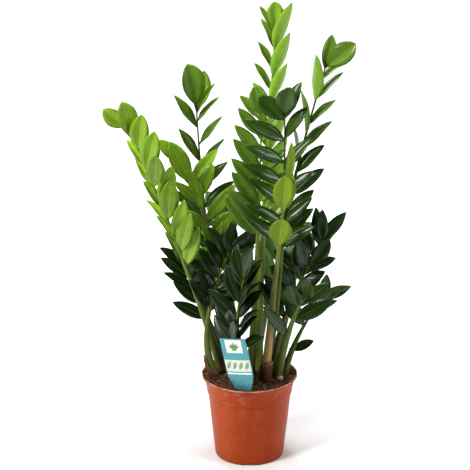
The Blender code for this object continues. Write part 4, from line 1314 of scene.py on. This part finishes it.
def label_finish(settings):
    """Printed card: a cream panel with a sprig, a pale band with a row of leaves, and a white line."""
    surface = Finish("label_print", settings.card, Coat_Weight=0.25, Coat_Roughness=0.18)
    x, y, side = surface.attribute("card", "Vector").split()

    def patch(low, high, half):
        return (y > low) * (y < high) * (abs(x) < half)

    def leaf(middle_x, middle_y, half_length, half_width, turn):
        """Pointed leaf: two arcs that meet."""
        dx, dy = x - middle_x, y - middle_y
        along = dx * math.cos(turn) + dy * math.sin(turn)
        away = dy * math.cos(turn) - dx * math.sin(turn)
        room = 1 - (along / half_length) ** 2.0
        return (abs(away) < room * half_width) * (abs(along) < half_length)

    tone = surface.noise(40.0)
    surface.lay((tone * 0.25, (0.06, 0.36, 0.40)))
    plain = surface.tint
    panel, band = patch(*PANEL), patch(*BAND)
    sprig = patch(*SPRIG_FOOT)
    for slant in SPRIG_SLANTS:
        turn = math.radians(90 + slant)
        reach = 0.0085 - 0.00003 * abs(slant)
        middle = (math.cos(turn) * reach, SPRIG_FOOT[1] + math.sin(turn) * reach)
        sprig = sprig.at_least(leaf(*middle, *SPRIG_LEAF, turn))
    row = None
    for middle in ROW_PLACES:
        one = leaf(middle, ROW_HEIGHT, *ROW_LEAF, ROW_LEAN)
        row = row.at_least(one) if row else one
    surface.lay(
        (panel, settings.panel),
        (band, settings.band),
        (band * surface.noise(120.0, 4.0, 0.6).step(0.45, 0.7) * 0.35, (0.30, 0.42, 0.30)),
        (sprig * panel, settings.sprig),
        (row * band * 0.8, settings.sprig),
        (patch(*LINE), (0.82, 0.84, 0.80)),
    )
    surface.tint = surface.mixed(side > 0.5, plain, surface.tint)
    soiled = (0.072 - y).step(0.0, 0.030) * surface.noise(260.0, 4.0, 0.65).step(0.45, 0.68)
    surface.lay((soiled * 0.75, (0.055, 0.034, 0.022)))
    return surface.finished(0.36 + tone * 0.12 + soiled * 0.4, tone, distance=0.0006, strength=0.5)


def make_sheath(name, node, stem, material):
    """Papery sheath round the foot of a stem: open at one side, split and torn along its edge."""
    columns, rows = SHEATH_GRID
    frond = FRONDS[stem]
    climb = 2 * (frond.elbow[2] - SOIL_LEVEL)
    faces_to, low, flake, flake_width = SHEATHED[stem]
    points, spots = [], []
    for row, column in itertools.product(range(rows + 1), range(columns + 1)):
        share, rise = column / columns, row / rows
        turn = faces_to + SHEATH_SPAN * (share - 0.5)
        torn = low + (1 - low) * math.exp(-(((share - flake) / flake_width) ** 2))
        torn += SHEATH_WAVES[0] * math.sin(SHEATH_WAVES[1] * share)
        spot = Vector((share * SHEATH_TEETH[1], frond.stem * 900, 0.0))
        ragged = SHEATH_TEETH[0] * noise.noise(spot)
        height = between((-SHEATH_DEPTH, SHEATH_HEIGHT * (torn + ragged)), rise)
        centre = stem_point(frond, height / climb if height > 0 else height)
        spot = Vector((share * SHEATH_CREASES[1], rise * 2.0, frond.stem * 500))
        crease = SHEATH_CREASES[0] * noise.noise(spot)
        uneven = 1 + noise.noise(Vector((share * SHEATH_CURL[1], 3.0, 0.0)))
        curl = SHEATH_CURL[0] * max(0.0, rise - CURL_START) ** 1.5 * uneven
        reach = frond.stem + SHEATH_PLAY + SHEATH_FLARE * rise + crease * rise + curl
        points.append(centre + Vector((math.cos(turn), math.sin(turn), 0)) * reach)
        spots.append((share, rise, 0.0))
    sheath = piece_of(name, points, grid_faces(rows, columns))
    add_attribute(sheath, "paper", spots)
    outward(sheath)
    modified(sheath, "Thickness", "SOLIDIFY", thickness=SHEATH_PAPER, offset=0.0)
    return placed(plain_mesh(sheath), material, "dry_sheath", node)


def sheath_finish():
    """Dry reddish-brown paper with long fibres, paler at its torn edge."""
    surface = Finish("dry_sheath", (0.16, 0.055, 0.025), Specular_IOR_Level=0.15)
    share, rise, _ = surface.attribute("paper", "Vector").split()
    fibres = surface.noise(1.0, 4.0, 0.6, at=surface.vector(share * 60.0, rise * 2.5, 0.0))
    blots = surface.noise(130.0, 4.0)
    surface.tint = (0.028, 0.009, 0.006)
    surface.lay(
        (fibres.step(0.35, 0.7), (0.15, 0.045, 0.022)),
        (blots.step(0.52, 0.75) * 0.6, (0.055, 0.020, 0.012)),
        ((rise + fibres * 0.3).step(0.98, 1.20) * 0.6, (0.42, 0.22, 0.11)),
    )
    return surface.finished(0.60, fibres + blots * 0.4, distance=0.0009)


def make_nub():
    """Knobbly end of the rhizome, with rings and a corky skin."""
    shape = bmesh.new()
    bmesh.ops.create_icosphere(shape, subdivisions=5, radius=1.0)
    for vertex in shape.verts:
        swell = 1 + NUB_SWELL[0] * noise.noise(vertex.co * NUB_SWELL[1])
        swell += NUB_DIMPLES[0] * noise.noise(vertex.co * NUB_DIMPLES[1])
        turn = vertex.co.z * NUB_RINGS[1] + 2 * noise.noise(vertex.co * 2.0)
        swell += NUB_RINGS[0] * math.sin(turn)
        vertex.co = Vector([c * d for c, d in zip(vertex.co, NUB_SIZE * swell)]) + NUB_PLACE
    return placed(outward(piece_from("rhizome_nub", shape)), nub_finish(), "tuber_skin", "tuber_nub")


def nub_finish():
    surface = Finish("tuber_skin", (0.42, 0.36, 0.27))
    patches = surface.noise(260.0, 5.0, 0.65)
    low = (NUB_PLACE.z + 0.0015 - surface.place.split()[2]).step(0.0, 0.004)
    surface.tint = (0.50, 0.44, 0.30)
    surface.lay((patches.step(0.38, 0.66), (0.24, 0.20, 0.10)), (low * 0.8, (0.06, 0.035, 0.02)))
    return surface.finished(0.66, patches, distance=0.0008)


def leaf_finish(tone, colour, settings):
    """Waxy leaflet: dark or pale green above with a light midrib and faint veins, matt beneath. Painted
    shade darkens one half of each blade and the leaflets low in the plant.
    """
    young = tone == "young"
    shaded = tone in ("mid", "dark", "deep")
    surface = Finish(
        "leaf_" + tone, colour, Coat_Weight=settings.gloss * (0.4 if young else 1.0),
        Coat_Roughness=0.11, Specular_IOR_Level=LEAF_SPECULAR, Subsurface_Weight=0.04,
        Subsurface_Scale=0.002, Subsurface_Radius=(0.4, 1.0, 0.1),
    )
    t, side, layer = surface.attribute("leaf", "Vector").split()
    x, _, z = surface.place.split()
    chance = surface.attribute("chance")
    away = abs(side)
    under = layer < 0.0
    clouds = surface.noise(38.0, 4.0, 0.6)
    wear = surface.noise(300.0, 3.0, 0.6)
    colour, fresh = Vector(colour), Vector(settings.fresh)
    pale = colour * 1.30 + Vector((0.012, 0.018, 0.001))
    rib_tint = colour * 1.5 + Vector((0.060, 0.085, 0.012))
    back = colour * 1.15 + Vector((0.050, 0.085, 0.010))
    surface.tint = colour * 0.62
    surface.lay(
        (chance, colour * 1.22),
        (clouds.step(0.42, 0.74) * 0.45, pale),
        (clouds.step(0.52, 0.30) * 0.40, colour * 0.50),
    )
    if shaded:
        freshness = surface.attribute("fresh")
        lively = surface.mixed(chance, fresh * 0.52, fresh * 0.92)
        lively = surface.mixed(clouds.step(0.42, 0.74) * 0.4, lively, fresh * 1.20)
        # Painted shade: leaflets low in the plant are darkened
        low = z.step(SHADE_HIGH, SHADE_LOW - (0.14 if tone == "dark" else 0.0))
        surface.lay((freshness, lively), (low * 0.78, colour * 0.14))
        back = surface.mixed(freshness, back, fresh * 1.25 + Vector((0.08, 0.10, 0.02)))
    elif tone == "light":
        # Painted shade on the low leaflets towards the middle of the pale fronds
        painted_inner_shade = x.step(-0.125, -0.07) * z.step(0.62, 0.42)
        surface.lay((painted_inner_shade * (chance * 0.4 + 0.55), colour * 0.24))
    veins = ((t - away * 0.22) * 74.0).sine() * 0.5 + 0.5
    veins = veins**5.0 * away.step(0.02, 0.15) * away.step(1.0, 0.75)
    midrib = away.step(0.085, 0.015) * (1 - t * 0.70)
    surface.lay(
        (t.step(0.20, 0.0) * 0.30, colour * 1.6 + Vector((0.03, 0.05, 0.004))),
        (veins * (0.20 if shaded else 0.34), pale),
        # Painted shade: one half of each blade is darker
        (side.step(-0.05, 0.05) * 0.34, colour * 0.50),
        (midrib * 0.72, rib_tint),
        (away.step(0.90, 1.0) * 0.34, rib_tint),
        (under * (0.35 if young else 0.70), back),
    )
    roughness = 0.26 + clouds * 0.10 + wear * 0.06 + under * 0.22 + (0.16 if young else 0.0)
    height = (1 - midrib * 0.9) + veins * 0.16 + clouds * 0.9 + wear * 0.05
    return surface.finished(roughness, height, distance=0.0006, strength=0.65)


def stem_finish(tone, settings):
    """Fleshy stalk: green with dark flecks, browner at its foot, with painted shade low down and towards
    the back.
    """
    young = tone == "young"
    base = Vector(settings.tan if young else settings.stem) * STEM_SHADES.get(tone, 1.0)
    surface = Finish(
        "stem_" + tone, base, Coat_Weight=0.10, Coat_Roughness=0.25, Specular_IOR_Level=0.12,
    )
    x, y, z = surface.place.split()
    streak = surface.noise(260.0, 4.0, 0.6, at=surface.vector(x, y, z * 0.22))
    flecks = surface.noise(420.0, 3.0, 0.6, at=surface.vector(x, y, z * 0.5))
    surface.lay(
        (streak.step(0.35, 0.7) * 0.5, base * 1.35),
        (surface.noise(45.0).step(0.45, 0.7) * 0.30, (0.22, 0.20, 0.06)),
    )
    if young:
        surface.lay((z.step(0.26, 0.38) * 0.8, settings.stem))
    else:
        # Painted shade: the stem is darkened low down, most towards the back
        shade = z.step(SHADE_LOW + 0.08, 0.22) * (y.step(-0.022, 0.012) * 0.85 + 0.15)
        surface.lay((shade * (0.25 if tone == "fresh" else 0.65), base * 0.22))
    if tone == "dark":
        surface.lay((z.step(0.36, 0.52) * 0.75, (0.030, 0.045, 0.012)))
    lowness = surface.attribute("share").step(0.75, 0.0) * 0.8 + 0.2
    foot = z.step(SOIL_LEVEL + 0.030, SOIL_LEVEL)
    surface.lay(
        (flecks.step(0.56, 0.66) * lowness * (0.35 if young else 0.75), settings.fleck),
        (foot * streak.step(0.3, 0.6) * 0.7, (0.15, 0.085, 0.035)),
    )
    return surface.finished(0.42 + streak * 0.12, flecks + streak * 0.6, distance=0.0004, strength=0.6)


def frond_rule():
    """Geometry rule of a frond: a round stem along the carrier's line, and a leaflet on each loose point.

    A loose point carries its leaflet's three directions and sizes. A leaflet is a thin lens in
    its own coordinates, t along, side across and layer through, which are kept on it as "leaf".
    """
    rule = GeometryRule("Frond", Thickness=0.0010, Ripple=0.0010, Stem=None, Leaf=None)
    values = {"Geometry": rule.given(), "Selection": rule.named("is_root", "BOOLEAN")}
    roots, line = rule.node(
        "GeometryNodeSeparateGeometry", values, ("Selection", "Inverted"), domain="POINT",
    )
    line = rule.made("MeshToCurve", Mesh=line)
    stem = rule.tube(line, STEM_ROUND, 1.0, Scale=rule.named("radius"))
    stem = rule.stored(stem, "blade", False, "BOOLEAN", "FACE")

    counts = {"Vertices_X": LEAF_SPANS + 1, "Vertices_Y": LEAF_COLUMNS + 1}
    grid = rule.made("MeshGrid", "Mesh", Size_X=1.0, Size_Y=1.0, **counts)
    x, y, _ = rule.made("InputPosition").split()
    t = x + 0.5 - ((x + 0.5) * math.tau).sine() * LEAF_EASE
    side = y * 2.0
    lens = (1 - side * side) * (1 - (t * 2.0 - 1.0) ** 8.0)
    top = rule.made("SetPosition", Geometry=grid, Position=rule.vector(t, side, lens))
    under = rule.made("SetPosition", Geometry=grid, Position=rule.vector(t, side, -lens))
    under = rule.made("FlipFaces", Mesh=under)
    blade = rule.made("JoinGeometry", Geometry=[top, under])
    blade = rule.made("MergeByDistance", Geometry=blade, Distance=1e-4)
    blade = rule.stored(blade, "leaf", rule.made("InputPosition"), "FLOAT_VECTOR")
    blade = rule.stored(blade, "blade", True, "BOOLEAN", "FACE")

    blades = rule.made("InstanceOnPoints", Points=roots, Instance=blade)
    blades = rule.made("RealizeInstances", Geometry=blades)
    leaf, along, across, upper = (
        rule.named(name, "FLOAT_VECTOR") for name in ("leaf", "along", "across", "upper")
    )
    length, width, bend, chance, rise, fall = (
        rule.named(name) for name in ("length", "width", "bend", "chance", "rise", "fall")
    )
    t, side, layer = leaf.split()
    turn = bend * t
    reach = length * turn.sine() / bend
    drop = length * (1 - turn.cosine()) / bend
    widest = rise / (rise + fall)
    outline = (t / widest) ** rise * ((1 - t).at_least(0.0) / (1 - widest)) ** fall
    half = (width * 0.5 * outline).at_least((1 - t) * BLADE_STALK)
    fold = (chance * 1.1 + 0.7) * BLADE_FOLD
    wave = (t * LEAF_WAVES + chance * 20.0).sine() * side * outline * rule.given("Ripple")
    lean = (chance * 7.0).sine() * length * t * t * LEAF_LEAN
    lift = half * abs(side) ** 1.4 * fold.sine() - drop + wave + layer * rule.given("Thickness") * 0.5
    root = rule.made("InputPosition") - leaf
    place = root + along * reach + across * (half * side * fold.cosine() + lean) + upper * lift
    blades = rule.made("SetPosition", Geometry=blades, Position=place)
    blades = rule.made("MergeByDistance", Geometry=blades, Distance=1e-5)
    whole = rule.made("JoinGeometry", Geometry=[stem, blades])
    whole = rule.made("SetShadeSmooth", Geometry=whole, Shade_Smooth=True)
    return rule.finished(whole, ("Stem", None), ("Leaf", "blade"))


def frond_carrier(name, frond, leaflets, top):
    """Carrier of a frond: the line of its stem, then a loose point for each leaflet.

    Towards its top the leaflets are fresher, by the share given as top.
    """
    draw = random.Random(name)
    shares = [-STEM_DEPTH] + [k / STEM_SPANS for k in range(STEM_SPANS + 1)]
    line = [stem_point(frond, s) for s in shares]
    foot = stem_point(frond, 0)
    joints = [(leaflet.root - foot).length for leaflet in leaflets]
    radii = []
    for s, spot in zip(shares, line):
        away = (spot - foot).length
        swell = sum(math.exp(-(((away - joint) / JOINT_REACH) ** 2)) for joint in joints)
        radii.append(stem_radius(frond, s) * (1 + JOINT_SWELL * min(1.0, swell)))
    count, loose = len(line), len(leaflets)
    edges = [(k, k + 1) for k in range(count - 1)]
    carrier = piece_of(name, line + [leaflet.root for leaflet in leaflets], edges=edges)
    rises = [joint / max(joints) for joint in joints]
    above = [(rise - FRESH_FROM) / (1 - FRESH_FROM) for rise in rises]
    fresh = [top * min(max(high * FRESH_RISE, 0.0), 1.0) for high in above]
    add_attribute(carrier, "is_root", [False] * count + [True] * loose)
    add_attribute(carrier, "radius", radii + [0.0] * loose)
    add_attribute(carrier, "share", [max(s, 0.0) for s in shares] + rises)
    add_attribute(carrier, "fresh", [0.0] * count + fresh)
    add_attribute(carrier, "chance", [0.0] * count + [draw.random() for _ in leaflets])
    for field in Leaflet._fields[1:]:
        values = [getattr(leaflet, field) for leaflet in leaflets]
        unused = Vector((0, 0, 1)) if isinstance(values[0], Vector) else 0.0
        add_attribute(carrier, field, [unused] * count + values)
    return carrier


def settings_of(context):
    return context.scene.zz_plant


class Adding:
    """What the operators share: each adds its pieces by the settings of the scene."""

    def execute(self, context):
        self.add(settings_of(context))
        return {"FINISHED"}


class ZZPLANT_OT_pot(Adding, Operator):
    """Add the moulded pot with its notched foot and drain holes"""

    bl_idname = "zz_plant.pot"
    bl_label = "Pot"

    def add(self, settings):
        pot = turned("nursery_pot", pot_section(), POT_ROUND)
        cutters = [notch_cutter(k) for k in range(NOTCHES)] + [drain_cutter(k) for k in range(DRAIN_HOLES)]
        outward(pot)
        for other in cutters:
            modified(pot, other.name, "BOOLEAN", operation="DIFFERENCE", solver="EXACT", object=other)
        plain_mesh(pot)
        for other in cutters:
            bpy.data.objects.remove(other)
        outward(pot, SHARP_POT)
        placed(pot, pot_finish(settings.pot), "pot_plastic", "pot")


class ZZPLANT_OT_soil(Adding, Operator):
    """Add the potting soil, with crumbs, wood chips and fibres on it"""

    bl_idname = "zz_plant.soil"
    bl_label = "Soil"

    def add(self, settings):
        settings = settings.soil
        soil = turned("potting_soil", soil_profile(), SOIL_ROUND)
        for vertex in soil.data.vertices:
            if vertex.co.z > SOIL_LEVEL - 0.0005:
                vertex.co.z = rough_soil_height(vertex.co.x, vertex.co.y)
        outward(soil)
        placed(soil, soil_finish(settings), "potting_soil", "soil")
        crumbs, fibres = crumb_rule(), fibre_rule()
        crumb = litter_finish("soil_crumb", settings.peat, settings.chip, 0.92)
        chip = litter_finish("wood_chip", settings.chip, settings.fibre, 0.80)
        fibre = litter_finish("soil_fibre", settings.chip, settings.fibre, 0.75)
        sizes = {"Density": settings.crumbs, "Most": settings.crumb_size, **CRUMBS}
        for name, rule, finish, sizes in (
            ("soil_crumbs", crumbs, crumb, sizes), ("wood_chips", crumbs, chip, WOOD_CHIPS),
            ("soil_fibres", fibres, fibre, FIBRES),
        ):
            litter = with_rule(self.carrier(soil, name), rule, Finish=finish, **sizes)
            placed(litter, None, "potting_soil")

    def carrier(self, soil, name):
        """Copy of the soil's top faces, and a strip of the lip where soil has been spilled."""
        shape = bmesh.new()
        shape.from_mesh(soil.data)
        low = [f for f in shape.faces if f.calc_center_median().z < SOIL_LEVEL - 0.004]
        bmesh.ops.delete(shape, geom=low, context="FACES")
        rows = []
        for k in range(SPILL_STEPS + 1):
            turn = math.radians(SPILL_START + SPILL_SPAN * k / SPILL_STEPS)
            ray = Vector((math.cos(turn), math.sin(turn), 0))
            rows.append([
                shape.verts.new(ray * (RIM_RADIUS - 0.0030) + Vector((0, 0, POT_HEIGHT - 0.0006))),
                shape.verts.new(ray * (RIM_RADIUS - 0.0008) + Vector((0, 0, POT_HEIGHT))),
            ])
        for (a, b), (d, c) in zip(rows, rows[1:]):
            shape.faces.new((a, b, c, d))
        return piece_from(name, shape)


class ZZPLANT_OT_label(Adding, Operator):
    """Add the printed label"""

    bl_idname = "zz_plant.label"
    bl_label = "Label"

    def add(self, settings):
        make_label(settings.label)


class ZZPLANT_OT_sheaths(Adding, Operator):
    """Add the dry sheaths and the rhizome's nub at the foot of the stems"""

    bl_idname = "zz_plant.sheaths"
    bl_label = "Sheaths and nub"

    def add(self, settings):
        material = sheath_finish()
        for k, stem in enumerate(SHEATHED, start=1):
            make_sheath(f"papery_sheath_{k}", f"dry_sheath_{k}", stem, material)
        make_nub()


class ZZPLANT_OT_fronds(Adding, Operator):
    """Add every frond: its stem and its leaflets"""

    bl_idname = "zz_plant.fronds"
    bl_label = "Fronds"

    def add(self, settings):
        settings = settings.foliage
        rule = frond_rule()
        tones = sorted({frond.tone for frond in FRONDS.values()})
        leaves = {tone: leaf_finish(tone, getattr(settings, tone), settings) for tone in tones}
        stems = {tone: stem_finish(tone, settings) for tone in tones}
        grown, _ = grow(FRONDS)
        for name, frond in FRONDS.items():
            top = FRESH_TOPS.get(name, 0.0)
            piece = frond_carrier(name.replace("frond", "leafy"), frond, grown[name], top)
            finishes = {"Stem": stems[frond.tone], "Leaf": leaves[frond.tone]}
            with_rule(piece, rule, Thickness=settings.thickness, **finishes)
            placed(piece, None, "foliage_" + frond.tone, name)


class ZZPLANT_OT_stage(Adding, Operator):
    """Add the floor, the lights and the camera"""

    bl_idname = "zz_plant.stage"
    bl_label = "Stage"

    def add(self, settings):
        settings = settings.stage
        self.add_floor(settings)
        data = bpy.data.cameras.new("camera")
        data.lens = settings.lens
        data.sensor_width = 36.0
        camera = new_piece("camera", data)
        camera.location = (settings.aside, -settings.distance, settings.height)
        camera.rotation_euler = (math.pi / 2 - settings.tilt, 0.0, 0.0)
        for name, place, aim, size, power in LAMPS:
            data = bpy.data.lights.new(name, "AREA")
            data.shape = "RECTANGLE"
            data.size, data.size_y = size
            data.energy = power * settings.light
            lamp = new_piece(name, data)
            lamp.location = place
            lamp.rotation_euler = (Vector(aim) - Vector(place)).to_track_quat("-Z", "Y").to_euler()
        world = bpy.data.worlds.new("daylight")
        world.use_nodes = True
        sky = world.node_tree.nodes["Background"].inputs
        sky["Color"].default_value = (1.0, 1.0, 1.0, 1.0)
        sky["Strength"].default_value = WORLD_LIGHT * settings.light
        scene = bpy.context.scene
        scene.camera = camera
        scene.world = world
        scene.view_settings.view_transform = "Standard"

    def add_floor(self, settings):
        """Pale floor, which glows round the plant and darkens towards the camera."""
        shape = bmesh.new()
        bmesh.ops.create_grid(shape, x_segments=1, y_segments=1, size=FLOOR_REACH)
        floor = piece_from("floor", shape)
        surface = Finish("floor", settings.floor)
        dark = (-surface.place.split()[1]).step(DARK_START, DARK_FULL) * DARK_SHARE
        surface.lay(
            (surface.noise(3.0, 2.0) * 0.04, Vector(settings.floor) * 0.9),
            (dark, (0.05, 0.05, 0.05)),
        )
        bright = surface.place.length().step(GLOW_START, GLOW_FULL) * (1 - dark)
        surface.join("Emission Color", surface.mixed(bright, (0.0, 0.0, 0.0), (1.0, 1.0, 1.0)))
        surface.join("Emission Strength", FLOOR_GLOW)
        floor.data.materials.append(surface.finished(0.9))


OPERATORS = (
    ZZPLANT_OT_pot, ZZPLANT_OT_soil, ZZPLANT_OT_label, ZZPLANT_OT_sheaths, ZZPLANT_OT_fronds,
    ZZPLANT_OT_stage,
)


class ZZPLANT_PT_panel(Panel):
    """Lists the pieces of the plant"""

    bl_idname = "ZZPLANT_PT_panel"
    bl_label = "Potted ZZ plant"
    bl_space_type = "VIEW_3D"
    bl_region_type = "UI"
    bl_category = "Plant"

    def draw(self, context):
        for operator in OPERATORS:
            self.layout.operator(operator.bl_idname)
        settings = settings_of(context)
        for group in (settings.pot, settings.soil, settings.label, settings.foliage, settings.stage):
            box = self.layout.box()
            for name in group.__annotations__:
                box.prop(group, name)


CLASSES = (
    PotSettings, SoilSettings, LabelSettings, FoliageSettings, StageSettings, PlantSettings, *OPERATORS,
    ZZPLANT_PT_panel,
)


def register():
    for item in CLASSES:
        bpy.utils.register_class(item)
    bpy.types.Scene.zz_plant = PointerProperty(type=PlantSettings)


def unregister():
    del bpy.types.Scene.zz_plant
    for item in reversed(CLASSES):
        bpy.utils.unregister_class(item)


def main():
    register()
    bpy.ops.zz_plant.pot()
    bpy.ops.zz_plant.soil()
    bpy.ops.zz_plant.label()
    bpy.ops.zz_plant.sheaths()
    bpy.ops.zz_plant.fronds()
    bpy.ops.zz_plant.stage()


if __name__ == "__main__":
    main()
